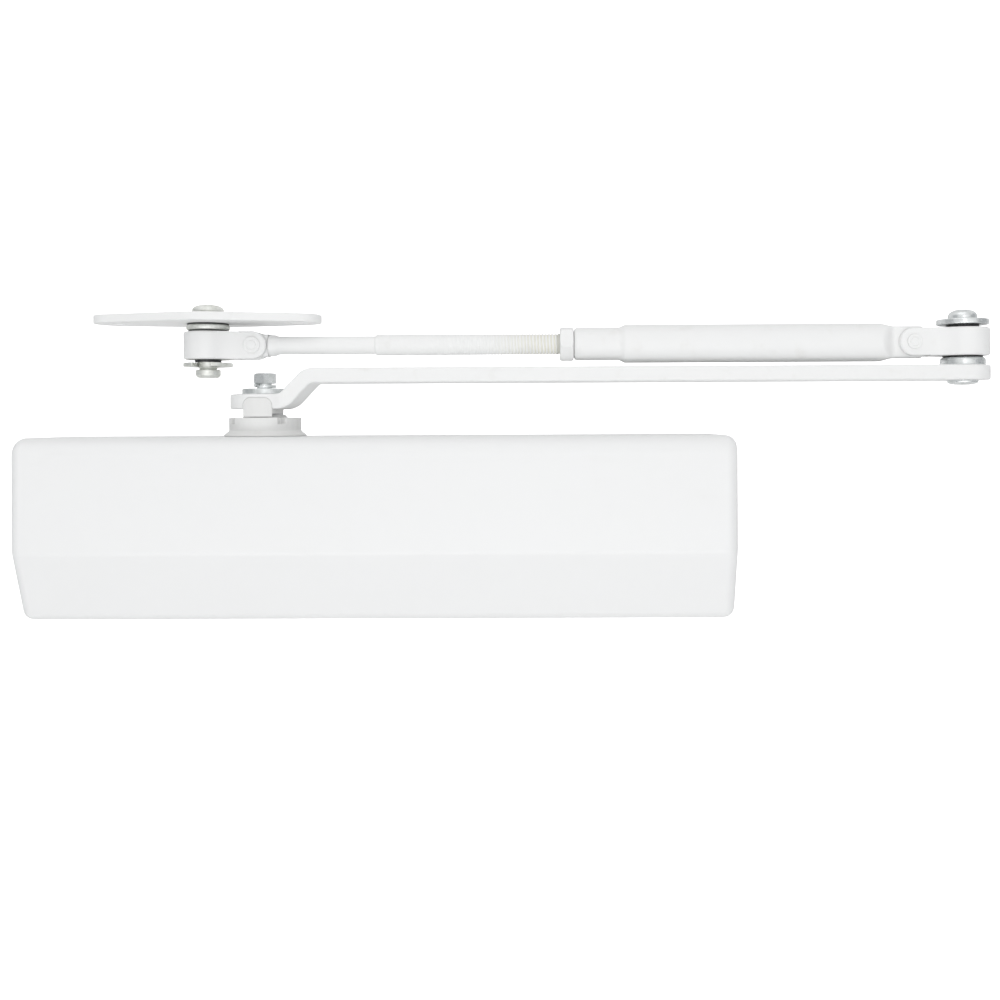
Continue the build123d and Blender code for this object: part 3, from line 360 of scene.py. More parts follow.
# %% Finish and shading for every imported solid
slots = {part["node"]: part["material_slot"] for part in frame["record"]["subparts"]}
other_finish = {"foot_clip": "pale_zinc"}
broken_edges = {"arm_tab_washer": 0.25, "foot_clip": 0.2, "body_casting": 0.3, "cover_clips": 0.1}


def soften(piece, edge, least_angle):
    """A bevel that many mm wide on every edge that turns by more than least_angle degrees."""
    bevel = piece.modifiers.new("broken_edges", "BEVEL")
    bevel.width = edge * MM
    bevel.segments = 2
    bevel.limit_method = "ANGLE"
    bevel.angle_limit = math.radians(least_angle)


def keep_flats(piece):
    """Weighs each corner's shading by the size of its faces, so that flat faces look flat."""
    flat = piece.modifiers.new("true_flats", "WEIGHTED_NORMAL")
    flat.keep_sharp = True


def dress(node, material, edge):
    """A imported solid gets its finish, smooth shading and, where edge isn't 0, a bevel that many mm wide."""
    for holder in node.material_slots:
        holder.link = "OBJECT"
        holder.material = material
    node.data.polygons.foreach_set("use_smooth", np.ones(len(node.data.polygons), bool))
    weld = node.modifiers.new("weld", "WELD")
    weld.merge_threshold = 0.002 * MM
    if edge:
        soften(node, edge, 35)
    else:
        split = node.modifiers.new("sharp_edges", "EDGE_SPLIT")
        split.split_angle = math.radians(28)
    keep_flats(node)


for name, node in frame["nodes"].items():
    dress(node, finishes[other_finish.get(name, slots[name])], broken_edges.get(name, 0))
print("dressed", len(frame["nodes"]), "solids")

# %% [markdown]
# ## Surfaces from numbers
#
# The turned, threaded and pressed pieces are drawn again, finer than a solid needs to be. Each is a grid of
# points: rows run along the piece and columns go round it. Three small tools are enough. One turns a grid
# into a closed mesh, one softens the corners of a profile, and one spins a profile about an axis. All sizes
# are millimetres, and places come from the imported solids' own boxes, so that a finer piece can't drift away
# from what it stands for.


# %% A closed mesh over a grid
def skin(name, points, wrap_rows=False, groove=None):
    """Mesh over a grid of points in millimetres, rows by columns. Columns go round and close. Rows close as
    well with wrap_rows; otherwise the first and the last row have shrunk to a point. U is the share of a
    turn and V the length along the rows in metres. The sum of a . (b x c) over all triangles is six times
    the enclosed volume: where it comes out negative, the faces are turned round."""
    rows, columns = points.shape[:2]
    flat = points.reshape(-1, 3) * MM
    along = np.vstack([points[:, 0], points[:1, 0]]) * MM
    length = np.concatenate([[0.0], np.cumsum(np.linalg.norm(np.diff(along, axis=0), axis=1))])
    row, column = np.indices((rows if wrap_rows else rows - 1, columns))
    row_of = np.stack([row, row, row + 1, row + 1], -1).reshape(-1, 4)
    column_of = np.stack([column, column + 1, column + 1, column], -1).reshape(-1, 4)
    corner = (row_of % rows) * columns + column_of % columns
    map_point = np.stack([column_of / columns, length[row_of]], -1)
    a, b, c, d = (flat[corner[:, k]] - flat.mean(0) for k in range(4))
    if np.sum(a * np.cross(b, c)) + np.sum(a * np.cross(c, d)) < 0:
        corner, map_point = corner[:, ::-1], map_point[:, ::-1]
    mesh = bpy.data.meshes.new(name)
    mesh.from_pydata(flat.tolist(), [], corner.tolist())
    mesh.uv_layers.new(name="UVMap").data.foreach_set("uv", map_point.ravel())
    if groove is not None:
        mesh.attributes.new("groove", "FLOAT", "POINT").data.foreach_set("value", groove.ravel())
    shape = bmesh.new()
    shape.from_mesh(mesh)
    bmesh.ops.remove_doubles(shape, verts=shape.verts, dist=0.0002 * MM)
    shape.to_mesh(mesh)
    shape.free()
    mesh.polygons.foreach_set("use_smooth", np.ones(len(mesh.polygons), bool))
    piece = bpy.data.objects.new(name, mesh)
    scene.collection.objects.link(piece)
    return piece


# %% Profiles
def rounded(corners, cut, steps=5, closed=False):
    """Softens a profile. A corner P becomes the curve (1-s)^2 A + 2s(1-s) P + s^2 B, where A and B lie cut
    before and after it, or at most 0.45 of the way to the next corner. The ends of an open profile stay."""
    corners = np.array(corners, float)
    before = np.roll(corners, 1, axis=0) - corners
    after = np.roll(corners, -1, axis=0) - corners
    long_before = np.linalg.norm(before, axis=1)
    long_after = np.linalg.norm(after, axis=1)
    reach = np.minimum(cut, 0.45 * np.minimum(long_before, long_after))
    start = corners + before * (reach / long_before)[:, None]
    end = corners + after * (reach / long_after)[:, None]
    s = np.linspace(0, 1, steps)[None, :, None]
    curve = (1 - s) ** 2 * start[:, None] + 2 * s * (1 - s) * corners[:, None] + s ** 2 * end[:, None]
    if closed:
        return curve.reshape(-1, 2)
    return np.vstack([corners[:1], curve[1:-1].reshape(-1, 2), corners[-1:]])


def dome(radius, rim, top, power=2.5, steps=18):
    """Quarter superellipse of (radius, height) from the rim to the axis: radius * cos(t)^(2/n) and
    rim + (top - rim) * sin(t)^(2/n). With n = 2 it is an ellipse; a larger n fills out its shoulder, as a
    die does."""
    t = np.linspace(0, math.pi / 2, steps)
    t[-1] = math.pi / 2
    fall = np.maximum(np.cos(t), 0) ** (2 / power)
    fall[-1] = 0
    return np.stack([radius * fall, rim + (top - rim) * np.sin(t) ** (2 / power)], -1)


def spun(profile, centre, axis="z", columns=128):
    """A profile of (radius, height) spun about an axis, whose two other coordinates are the centre. The
    point at angle a lies radius * cos(a) and radius * sin(a) from the centre, at that height."""
    profile = np.array(profile, float)
    angle = np.linspace(0, 2 * math.pi, columns, endpoint=False)[None, :]
    first = centre[0] + profile[:, :1] * np.cos(angle)
    second = centre[1] + profile[:, :1] * np.sin(angle)
    along = np.broadcast_to(profile[:, 1:], first.shape)
    order = {"z": (first, second, along), "x": (along, first, second), "y": (first, along, second)}
    return np.stack(order[axis], -1)


# %% Where a piece stands and what it stands for
def span(node):
    """Lowest corner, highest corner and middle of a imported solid, in millimetres."""
    low, high = (np.array(corner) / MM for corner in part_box(node))
    return low, high, (low + high) / 2


def stand_for(piece, node, material, edge=0.0):
    """The piece takes the node's place and body, a finish and, where edge isn't 0, a bevel that wide."""
    piece.data.materials.append(finishes[material])
    if edge:
        soften(piece, edge, 25)
    keep_flats(piece)
    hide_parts(node)
    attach(piece, body_of(frame["nodes"][node])[0])
    print("piece:", piece.name, "-", len(piece.data.polygons), "faces")


# %% [markdown]
# ## Washers and the spacer
#
# A washer is punched from sheet, so one edge is rolled over and the other is nearly square. A ring is a
# small rectangle carried round a circle: the profile is closed, and each of its four corners is softened by
# its own amount.

# %% Rings
hole_radius = {"elbow_washer": 4.02, "elbow_spacer": 4.02, "foot_washer": 4.02, "arm_flat_washer": 2.65}
ring_finish = {"foot_washer": "pale_zinc"}
corner_cuts = {
    "elbow_washer": (0.15, 0.55, 0.6, 0.15), "elbow_spacer": (0.15, 0.3, 1.7, 0.15),
    "foot_washer": (0.15, 1.0, 0.9, 0.15), "arm_flat_washer": (0.1, 0.3, 0.5, 0.1),
}
for node, hole in hole_radius.items():
    low, high, middle = span(node)
    outer = (high[0] - low[0]) / 2
    corners = [(hole, low[2]), (outer, low[2]), (outer, high[2]), (hole, high[2])]
    profile = rounded(corners, np.array(corner_cuts[node]), 7, closed=True)
    ring = skin(node + "_ring", spun(profile, middle[:2]), wrap_rows=True)
    stand_for(ring, node, ring_finish.get(node, "turned_zinc"))

# %% [markdown]
# ## The elbow's rivet
#
# The rivet is one turned piece. Its ready-made head is a dome on a short straight side, and the riveting
# press has spread its other end to a flat dome under the arm. The profile runs from one pole to the other,
# so the mesh is closed without a seam.

# %% Elbow pin
PIVOT_RADIUS = 4.0
pin_low, pin_high, pin_middle = span("elbow_pin")
arm_thickness = 5.7
tail_radius, tail_side = 5.65, 0.5
head_radius, head_side = 5.35, 0.8
arm_top = span("elbow_spacer")[0][2]
arm_low = arm_top - arm_thickness
head_low = span("elbow_washer")[1][2]
tail_profile = dome(tail_radius, arm_low - tail_side, pin_low[2])[::-1]
shank_profile = [
    (tail_radius, arm_low), (PIVOT_RADIUS, arm_low), (PIVOT_RADIUS, head_low), (head_radius, head_low),
]
head_profile = dome(head_radius, head_low + head_side, pin_high[2])
pin_profile = np.vstack([tail_profile, shank_profile, head_profile])
stand_for(skin("elbow_rivet", spun(pin_profile, pin_middle[:2])), "elbow_pin", "turned_zinc", edge=0.18)

# %% [markdown]
# ## The foot's stud
#
# The stud is turned from bar: a domed head over the plate with a shallow neck under its rim, a shoulder
# below the plate, a long bearing, a groove for the retaining clip, and a waist above a chamfered tip. Apart
# from the head, all its corners are softened alike.

# %% Foot stud
stud_low, stud_high, stud_middle = span("foot_stud")
clip_low, clip_high = span("foot_clip")[:2]
plate_low, plate_high = span("foot_plate")[:2]
tip_radius, tip_chamfer, tip_length, tip_break, waist_radius = 4.65, 0.9, 3.1, 0.3, 3.0
groove_radius, groove_play, shoulder_radius, shoulder_height = 3.6, 0.02, 7.0, 0.5
rim_radius, neck_radius, neck_height, neck_slope, rim_height = 5.95, 5.3, 1.0, 0.05, 1.6
neck_length, stud_softness = 0.45, 0.16
tip_low, tip_high = stud_low[2], stud_low[2] + tip_length
groove_low, groove_top = clip_low[2] - groove_play, clip_high[2] + groove_play
shoulder_low, shoulder_top = plate_low[2] - shoulder_height, plate_low[2]
plate_top = plate_high[2]
neck_low, neck_high = plate_top + neck_height, plate_top + neck_height + neck_length
stud_corners = [
    (0, tip_low), (tip_radius - tip_chamfer, tip_low), (tip_radius, tip_low + tip_chamfer),
    (tip_radius, tip_high - tip_break), (tip_radius - tip_break, tip_high), (waist_radius, tip_high),
    (PIVOT_RADIUS - 0.1, groove_low), (groove_radius, groove_low), (groove_radius, groove_top),
    (PIVOT_RADIUS, groove_top), (PIVOT_RADIUS, shoulder_low), (shoulder_radius, shoulder_low),
    (shoulder_radius, shoulder_top), (PIVOT_RADIUS, shoulder_top), (PIVOT_RADIUS, plate_top),
    (rim_radius, plate_top), (rim_radius, neck_low), (neck_radius, neck_low + neck_slope),
    (neck_radius, neck_high - neck_slope), (rim_radius, neck_high),
]
stud_head = dome(rim_radius, plate_top + rim_height, stud_high[2])
stud_profile = np.vstack([rounded(stud_corners, stud_softness), stud_head])
stand_for(skin("foot_rivet_stud", spun(stud_profile, stud_middle[:2])), "foot_stud", "pale_zinc", edge=0.12)

# %% [markdown]
# ## The ring under the foot plate
#
# A thin black ring is put round the stud's shoulder under the plate, in the gap above the washer where shade
# falls. Its black is painted shade: it draws the gap's dark line, like the one that the bush shows above the
# link. It is one more ring from a rounded rectangle.

# %% Ring under the plate
# Painted shade: this black ring fills the shaded gap under the plate and stands in for its shade.
shade_ring_hole, shade_ring_radius, shade_ring_softness = shoulder_radius + 0.02, 7.8, 0.1
shade_ring_low, shade_ring_high = plate_low[2] - 0.4, plate_low[2] - 0.04
corners = [(shade_ring_hole, shade_ring_low), (shade_ring_radius, shade_ring_low), (shade_ring_radius, shade_ring_high), (shade_ring_hole, shade_ring_high)]
shade_ring_profile = rounded(corners, shade_ring_softness, 4, closed=True)
shade_ring = skin("foot_painted_shade_ring", spun(shade_ring_profile, stud_middle[:2]), wrap_rows=True)
# Black nylon here draws the gap's shade as a dark line.
shade_ring.data.materials.append(finishes["black_nylon"])
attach(shade_ring, body_of(frame["nodes"]["foot_stud"])[0])
print("piece:", shade_ring.name, "-", len(shade_ring.data.polygons), "faces")

# %% [markdown]
# ## Cross rivets
#
# A rivet lies across each link's cheeks, and the whole link was painted after riveting. The riveting die
# leaves a raised ring with a button in its middle on both ends, and the paint rounds all of it off.

# %% Cross rivets
rivet_sizes = {"elbow_cross_rivet": (2.0, 2.8), "foot_cross_rivet": (2.2, 3.2)}
ring_depth, ring_width, head_height = 0.25, 0.4, 0.7
for node, (shank, head) in rivet_sizes.items():
    low, middle = span(node)[::2]
    front, face = low[1], low[1] + head_height
    button, floor = head / 2, front + ring_depth
    end = [(0, front), (button, front), (button, floor), (button + ring_width, floor),
           (button + ring_width, front), (head, front), (head, face), (shank, face)]
    other_end = [(radius, 2 * middle[1] - along) for radius, along in reversed(end)]
    profile = rounded(end + other_end, 0.3, 6)
    rivet = skin(node + "_painted", spun(profile, middle[[0, 2]], "y", 72))
    stand_for(rivet, node, "white_paint")

# %% [markdown]
# ## Where the strap leaves the pin
#
# A link is one strap bent round its pin, so it swings from the barrel into the straight cheeks in a soft
# curve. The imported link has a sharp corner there. A small web fills it on both sides: its outline is an arc
# that touches the barrel and the cheek, and a chord hidden inside the steel, carried straight up over the
# link's height.

# %% Webs in the corners of the links
link_sizes = {"elbow_link": (9.9, 5.5, -1, pin_middle), "foot_link": (9.1, 5.0, 1, stud_middle)}
web_radius, hidden, web_below_top, web_edge = 14.0, 0.6, 0.06, 0.1
for node, (barrel, half, towards, axis_point) in link_sizes.items():
    low, high = span(node)[:2]
    reach = math.sqrt((barrel + web_radius) ** 2 - (half + web_radius) ** 2)
    first = math.atan2(-(half + web_radius), -reach)
    angle = np.linspace(first, -math.pi / 2, 17)
    arc = np.stack([reach + web_radius * np.cos(angle), half + web_radius + web_radius * np.sin(angle)], -1)
    arc = np.vstack([arc, [(arc[-1, 0], half - hidden), (arc[0, 0] - hidden, half - hidden)]])
    for label, way in (("front", -1), ("back", 1)):
        outline = axis_point[:2] + arc * (towards, way)
        floor, ceiling = low[2] + web_below_top, high[2] - web_below_top
        heights = np.array([floor, floor, ceiling, ceiling])
        web = np.empty((4, len(outline), 3))
        web[..., :2] = outline
        web[[0, 3], :, :2] = outline.mean(0)
        web[..., 2] = heights[:, None]
        piece = skin(node + "_web_" + label, web)
        piece.data.materials.append(finishes["white_paint"])
        soften(piece, web_edge, 60)
        keep_flats(piece)
        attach(piece, body_of(frame["nodes"][node])[0])
        print("piece:", piece.name, "-", len(piece.data.polygons), "faces")

# %% [markdown]
# ## Hexagons
#
# A bolt's head and a nut are a hexagon cut by a cone: the lathe takes off the six corners at an angle,
# which leaves the curved edges that every hexagon head shows. So the hexagon's radius at an angle is worked
# out first, and the height of its edge follows from that radius and the cone's slope.


# %% Arm bolt
def hexagon(angle, across_flats, turn):
    """Radius of a hexagon at an angle: half its width over flats, divided by cos(angle from the flat)."""
    from_flat = (angle - turn + math.pi / 6) % (math.pi / 3) - math.pi / 6
    return across_flats / 2 / np.cos(from_flat)


def stack_rows(rows, centre, axis, columns):
    """Rows of (radius, height), each a number or one value per column, become a grid about an axis."""
    radius = np.array([np.broadcast_to(row[0], columns) for row in rows], float)
    along = np.array([np.broadcast_to(row[1], columns) for row in rows], float)
    angle = np.linspace(0, 2 * math.pi, columns, endpoint=False)[None, :]
    first = centre[0] + radius * np.cos(angle)
    second = centre[1] + radius * np.sin(angle)
    order = {"z": (first, second, along), "x": (along, first, second)}
    return np.stack(order[axis], -1)


HEX_COLUMNS = 96
hex_angle = np.linspace(0, 2 * math.pi, HEX_COLUMNS, endpoint=False)
bolt_low, bolt_high, bolt_middle = span("arm_bolt")
head_height, bolt_flats, face_radius, chamfer_slope = 3.9, 8.0, 3.7, 0.62
bolt_radius, under_radius, bolt_turn = 2.5, 4.2, math.radians(7.5)
dish_radius, dish_floor_radius, dish_depth = 2.6, 1.9, 0.5
head_base = bolt_high[2] - head_height
dish_floor = bolt_high[2] - dish_depth
side = hexagon(hex_angle, bolt_flats, bolt_turn)
edge_top = bolt_high[2] - np.maximum(side - face_radius, 0) * chamfer_slope
edge_low = head_base + np.maximum(side - under_radius, 0) * chamfer_slope
bolt_rows = [
    (0, dish_floor), (dish_floor_radius, dish_floor), (dish_radius, bolt_high[2]),
    (face_radius, bolt_high[2]), (side, edge_top), (side, edge_low),
    (np.minimum(side, under_radius), head_base), (bolt_radius, head_base), (bolt_radius, bolt_low[2]),
    (0, bolt_low[2]),
]
bolt = skin("arm_bolt_hexagon", stack_rows(bolt_rows, bolt_middle[:2], "z", HEX_COLUMNS))
stand_for(bolt, "arm_bolt", "turned_zinc", edge=0.16)

# %% [markdown]
# ## The spring washer
#
# A spring washer is one turn of a helix with a cut through it: one end stands up against the bolt's head,
# so it bites and keeps the bolt from coming loose. A small rounded rectangle is carried along the helix,
# and its ends are closed by two rows that shrink to a point.

# %% Spring washer
coil_low, coil_high, coil_middle = span("arm_spring_washer")
coil_inner, coil_outer = 2.65, (coil_high[0] - coil_low[0]) / 2
coil_thickness, coil_cut, coil_start = 1.15, math.radians(14), math.radians(-122)
half_wide, half_thick = (coil_outer - coil_inner) / 2, coil_thickness / 2
section = rounded([(-half_wide, -half_thick), (half_wide, -half_thick), (half_wide, half_thick),
                   (-half_wide, half_thick)], 0.22, 5, closed=True)
turn_share = np.linspace(0, 1, 97)
turn_share = np.concatenate([[0], turn_share, [1]])[:, None]
swell = np.ones_like(turn_share)
swell[[0, -1]] = 0
coil_angle = coil_start + turn_share * (2 * math.pi - coil_cut)
coil_radius = coil_inner + half_wide + swell * section[None, :, 0]
coil_height = coil_low[2] + half_thick + turn_share * (coil_high[2] - coil_low[2] - coil_thickness)
coil_height = coil_height + swell * section[None, :, 1]
coil_points = np.stack([coil_middle[0] + coil_radius * np.cos(coil_angle),
                        coil_middle[1] + coil_radius * np.sin(coil_angle), coil_height], -1)
stand_for(skin("arm_spring_washer_coil", coil_points), "arm_spring_washer", "turned_zinc", edge=0.08)

# %% [markdown]
# ## The locknut
#
# The same hexagon, lying along the rod and cut by a cone on both faces, is the locknut. It was painted on
# the rod, and it is screwed up against the tube's mouth. One of its corners points forwards, a little below
# the rod.

# %% Locknut
nut_low, nut_high, nut_middle = span("locknut")
nut_flats, nut_face_radius, nut_slope, nut_hole, hole_chamfer = 12.2, 5.95, 0.58, 4.05, 0.5
nut_turn, mouth_gap = math.radians(11.25), 0.15
nut_high[0] = span("forearm_tube")[0][0] - mouth_gap
side = hexagon(hex_angle, nut_flats, math.pi / 6 + nut_turn)
bite = np.maximum(side - nut_face_radius, 0) * nut_slope
nut_rows = [
    (nut_hole, nut_low[0] + hole_chamfer), (nut_hole + hole_chamfer, nut_low[0]),
    (nut_face_radius, nut_low[0]), (side, nut_low[0] + bite), (side, nut_high[0] - bite),
    (nut_face_radius, nut_high[0]),
    (nut_hole + hole_chamfer, nut_high[0]), (nut_hole, nut_high[0] - hole_chamfer),
]
rod_axis = (nut_middle[1], nut_middle[2])
nut = skin("locknut_hexagon", stack_rows(nut_rows, rod_axis, "x", HEX_COLUMNS), wrap_rows=True)
stand_for(nut, "locknut", "white_paint", edge=0.2)

# %% [markdown]
# ## The bearing nut
#
# The nut that closes the body round the spindle has a flared flange, a collar with four slots for a hook
# spanner and a low lip. It is a turned profile whose collar steps inwards at the slots. The step is a mask
# over the angle, and only the rows above the slots' floor use it.

# %% Bearing nut
nut_low, nut_high, nut_middle = span("bearing_nut")
flange_low = span("cover")[1][2] + 0.05
thread_radius, thread_low, flange_radius, collar_radius = 12.5, nut_low[2], 15.5, 13.5
flange_rim, flange_top = flange_low + 0.5, flange_low + 2.1
collar_top = flange_top + 5.0
lip_radius, lip_top_radius, lip_top, spindle_hole = 8.4, 7.5, nut_high[2], 6.75
slot_count, slot_width, slot_depth, slot_turn, slot_height = 4, 3.0, 2.8, math.radians(41), 2.4
NUT_COLUMNS = 288
nut_angle = np.linspace(0, 2 * math.pi, NUT_COLUMNS, endpoint=False)
share = 2 * math.pi / slot_count
from_slot = (nut_angle - slot_turn + share / 2) % share - share / 2
in_slot = np.abs(np.sin(from_slot)) * collar_radius < slot_width / 2
floor_radius = np.where(in_slot, collar_radius - slot_depth, collar_radius)
nut_rows = [
    (spindle_hole, thread_low), (thread_radius, thread_low), (thread_radius, flange_low),
    (flange_radius, flange_low), (flange_radius, flange_rim), (collar_radius, flange_top),
    (collar_radius, collar_top - slot_height), (floor_radius, collar_top - slot_height),
    (floor_radius, collar_top), (collar_radius - slot_depth, collar_top), (lip_radius, collar_top),
    (lip_top_radius, lip_top), (spindle_hole, lip_top),
]
nut = skin("bearing_nut_slotted", stack_rows(nut_rows, nut_middle[:2], "z", NUT_COLUMNS), wrap_rows=True)
stand_for(nut, "bearing_nut", "grey_paint", edge=0.25)

# %% [markdown]
# ## The adjuster rod and the forearm tube
#
# Both go from round to flat: each ends in a tang that was pressed flat to fit between a link's cheeks. A
# section that can be a circle or nearly a rectangle does for the whole length. It is a superellipse: the
# larger its power, the squarer it is. Each row of the grid is one section with its own place, half width,
# half height and power.


# %% Sections from round to flat
def sections(rows, columns):
    """Grid of superellipses. A row is (x, half width, half height, power n); the point at angle a lies at
    half width * sign(cos a) |cos a|^(2/n) across and half height * sign(sin a) |sin a|^(2/n) up."""
    x, wide, high, power = np.array(rows, float).T[:, :, None]
    angle = np.linspace(0, 2 * math.pi, columns, endpoint=False)[None, :]
    across = wide * np.sign(np.cos(angle)) * np.abs(np.cos(angle)) ** (2 / power)
    up = high * np.sign(np.sin(angle)) * np.abs(np.sin(angle)) ** (2 / power)
    x = np.broadcast_to(x, across.shape)
    return np.stack([x, rod_axis[0] + across, rod_axis[1] + up], -1)


def round_end(centre, side, radius, half_thick, half_high, power, steps=12):
    """Rows of a tang's round end, from its tip to the place where it reaches full height."""
    full = math.asin(half_high / radius)
    t = np.linspace(0, full, steps)
    rows = np.stack([centre + side * radius * np.cos(t), np.full(steps, half_thick), radius * np.sin(t),
                     np.full(steps, power)], -1)
    tip = rows[:1].copy()
    tip[0, 1:3] = 0
    return np.vstack([tip, rows])


# %% Adjuster rod with its thread
COLUMNS, ROUND = 64, 2.0
thread_pitch, rows_per_turn = 1.25, 10
crest_radius, groove_painted, groove_bare = 4.0, 0.02, 0.3
shank_radius = 3.45
rod_high = span("adjuster_rod")[1]
foot_rivet_x = span("foot_cross_rivet")[2][0]
tang_length, collar_length, thread_from_rivet = 5.6, 3.7, 46.3
rod_tang_radius, rod_tang_thin, rod_tang_high, rod_tang_power = 5.0, 2.68, 4.25, 9.0
collar_start = foot_rivet_x + tang_length
collar_end = collar_start + collar_length
thread_start = foot_rivet_x + thread_from_rivet
tang_rows = round_end(foot_rivet_x, -1, rod_tang_radius, rod_tang_thin, rod_tang_high, rod_tang_power)
plain_rows = [
    (collar_start, rod_tang_thin, rod_tang_high, rod_tang_power), (collar_start, 3.7, 3.8, ROUND),
    (collar_start + 0.5, 4.1, 4.15, ROUND), (collar_end - 1.4, 4.05, 4.05, ROUND),
    (collar_end - 0.4, 3.7, 3.7, ROUND), (collar_end + 0.4, shank_radius, shank_radius, ROUND),
    (thread_start, shank_radius, shank_radius, ROUND), (thread_start + 0.3, 3.7, 3.7, ROUND),
]
rod_grid = sections(np.vstack([tang_rows, plain_rows]), COLUMNS)
run_in, bare_over, fade_over = 0.6, 55.0, 3.0
thread_x = np.arange(thread_start + run_in, rod_high[0] - run_in, thread_pitch / rows_per_turn)[:, None]
thread_angle = np.linspace(0, 2 * math.pi, COLUMNS, endpoint=False)[None, :]
wave = 0.5 - 0.5 * np.cos(2 * math.pi * (thread_x / thread_pitch - thread_angle / (2 * math.pi)))
depth_share = np.clip(wave * 1.5 - 0.25, 0, 1)
bare_share = np.clip((thread_x - thread_start) / bare_over, 0, 1)
groove_depth = groove_painted + (groove_bare - groove_painted) * bare_share ** 2.5
fade = np.clip((thread_x - thread_start) / fade_over, 0, 1)
thread_radius_here = crest_radius - depth_share * groove_depth * fade
thread_grid = np.stack([np.broadcast_to(thread_x, thread_radius_here.shape),
                        rod_axis[0] + thread_radius_here * np.cos(thread_angle),
                        rod_axis[1] + thread_radius_here * np.sin(thread_angle)], -1)
end_grid = sections([(rod_high[0], 3.3, 3.3, ROUND), (rod_high[0], 0, 0, ROUND)], COLUMNS)
groove_value = np.concatenate([np.zeros(rod_grid.shape[:2]), depth_share, np.zeros(end_grid.shape[:2])])
rod = skin("adjuster_rod_threaded", np.concatenate([rod_grid, thread_grid, end_grid]), groove=groove_value)
stand_for(rod, "adjuster_rod", "painted_thread")
print("thread turns:", round(float(np.ptp(thread_x)) / thread_pitch))

# %% Forearm tube with its flattened end
mouth = span("forearm_tube")[0][0]
elbow_rivet_x = span("elbow_cross_rivet")[2][0]
taper_start, taper_length = pin_middle[0] - 32.6, 6.0
step_start, step_length = mouth + 16.8, 3.0
narrow, wide, bore, bore_depth = 6.25, 7.3, 4.05, 80.0
tang_half_thick, tang_half_high, tang_radius = 3.08, 6.1, 7.0
s = np.linspace(0, 1, 9)[1:-1]
ease = s * s * (3 - 2 * s)
step_rows = np.stack([step_start + s * step_length, narrow + (wide - narrow) * ease,
                      narrow + (wide - narrow) * ease, np.full(len(s), ROUND)], -1)
s = np.linspace(0, 1, 17)
ease = s * s * (3 - 2 * s)
taper_rows = np.stack([taper_start + s * taper_length, wide + (tang_half_thick - wide) * ease,
                       wide + (tang_half_high - wide) * ease, ROUND + 6.0 * s ** 2], -1)
tube_rows = np.vstack([
    [(mouth + bore_depth, 0, 0, ROUND), (mouth + bore_depth, bore, bore, ROUND),
     (mouth + 0.6, bore, bore, ROUND), (mouth + 0.1, bore + 0.5, bore + 0.5, ROUND),
     (mouth, narrow - 1.25, narrow - 1.25, ROUND),
     (mouth + 0.12, narrow - 0.7, narrow - 0.7, ROUND), (mouth + 0.45, narrow - 0.3, narrow - 0.3, ROUND),
     (mouth + 0.8, narrow - 0.1, narrow - 0.1, ROUND), (mouth + 1.3, narrow, narrow, ROUND),
     (step_start, narrow, narrow, ROUND)],
    step_rows,
    [(step_start + step_length, wide, wide, ROUND), (taper_start - 1.0, wide, wide, ROUND)],
    taper_rows,
    round_end(elbow_rivet_x, 1, tang_radius, tang_half_thick, tang_half_high, 8.0)[::-1],
])
tube = skin("forearm_tube_pressed", sections(tube_rows, 96))
stand_for(tube, "forearm_tube", "white_paint")

# %% [markdown]
# ## The studio
#
# The photograph is white on white, so the object is told from the background only by its soft shading. Most
# of the light comes evenly from all round, as in a light tent. A large soft lamp above adds shape, a weak
# one fills in from the front, and a low one lights the undersides. A narrow strip draws a bright line in
# the metals, and two grey cards beside the object, out of the picture, give polished metal something darker
# to reflect, without which it has no edges. The backdrop and the floor glow only for the camera, so that
# they come out white without lighting the object.


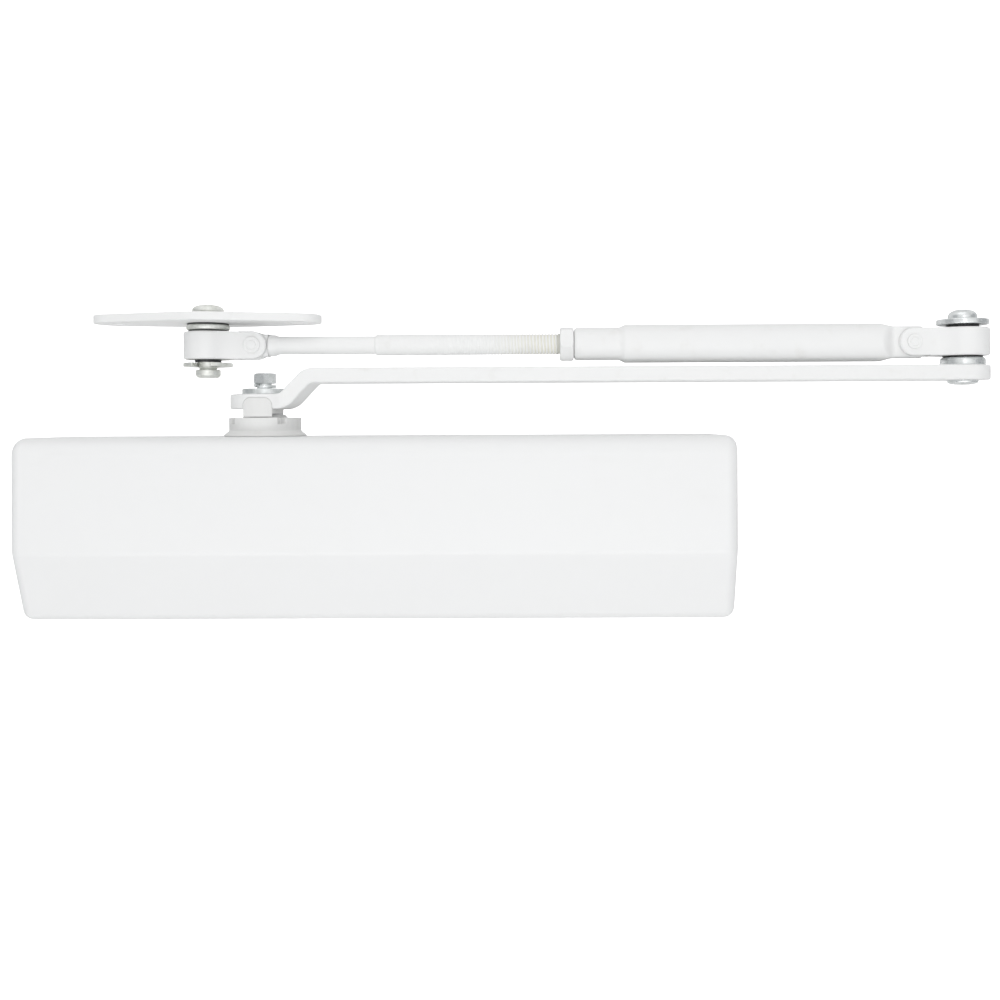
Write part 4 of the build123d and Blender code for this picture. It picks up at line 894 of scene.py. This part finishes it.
# %% Lamps, backdrop, floor and cards
def stage_plane(name, center, turn, size, color, glow, seen=True):
    """A flat card that glows white for the camera and can't be seen from behind."""
    bpy.ops.mesh.primitive_plane_add(size=size, location=center)
    card = bpy.context.object
    card.name = name
    card.rotation_euler = turn
    card.visible_camera = seen
    recipe = Recipe(name, color, Roughness=0.9)
    recipe.shader.inputs["Emission Strength"].default_value = glow
    looked_at = recipe.node("ShaderNodeLightPath", output="Is Camera Ray")
    recipe.feed("Emission Color", recipe.blend(looked_at, (0, 0, 0), (1, 1, 1)))
    clear = recipe.node("ShaderNodeBsdfTransparent")
    back = recipe.node("ShaderNodeNewGeometry", output="Backfacing")
    mix = recipe.node("ShaderNodeMixShader", None, {0: back})
    links = recipe.tree.links
    links.new(recipe.shader.outputs[0], mix.socket.node.inputs[1])
    links.new(clear.socket, mix.socket.node.inputs[2])
    links.new(mix.socket, recipe.tree.nodes["Material Output"].inputs["Surface"])
    card.data.materials.append(recipe.material)
    return card


quarter = math.radians(90)
paper, card_grey = (0.9, 0.9, 0.9), (0.52, 0.53, 0.54)
stage_plane("backdrop", (0, 1.6, 0.2), (quarter, 0, 0), 8.0, paper, 1.0)
stage_plane("floor", (0, 0, -0.4), (0, 0, 0), 8.0, paper, 0.45)
stage_plane("left_card", (-0.75, -0.25, 0.1), (0, quarter, 0), 0.9, card_grey, 0.0, seen=False)
stage_plane("right_card", (0.95, -0.25, 0.1), (0, -quarter, 0), 0.9, card_grey, 0.0, seen=False)


def lamp(name, place, aim, wide, high, watts):
    """A rectangular soft lamp that looks at aim."""
    data = bpy.data.lights.new(name, "AREA")
    data.shape = "RECTANGLE"
    data.size = wide
    data.size_y = high
    data.energy = watts
    holder = bpy.data.objects.new(name, data)
    holder.location = place
    away = np.array(place) - np.array(aim)
    flat = math.hypot(away[0], away[1])
    holder.rotation_euler = (math.atan2(flat, away[2]), 0, math.atan2(away[0], -away[1]))
    scene.collection.objects.link(holder)
    return holder


target = (0.045, -0.03, 0.03)
lamp("key", (-0.2, -0.75, 1.15), target, 1.2, 1.2, 1.7)
lamp("fill", (0.35, -1.35, 0.05), target, 1.0, 0.8, 0.6)
lamp("strip", (0.0, -1.35, 0.12), target, 0.12, 0.9, 0.5)
lamp("bounce", (0.05, -0.72, -0.34), target, 0.9, 0.2, 1.35)

world = bpy.data.worlds.new("studio")
scene.world = world
world.use_nodes = True
sky = world.node_tree
background = sky.nodes["Background"]
path = sky.nodes.new("ShaderNodeLightPath")
strength = sky.nodes.new("ShaderNodeMapRange")
tent_light, seen_light = 0.84, 1.0
strength.inputs["To Min"].default_value = tent_light
strength.inputs["To Max"].default_value = seen_light
sky.links.new(path.outputs["Is Camera Ray"], strength.inputs["Value"])
sky.links.new(strength.outputs["Result"], background.inputs["Strength"])
background.inputs["Color"].default_value = (1, 1, 1, 1)
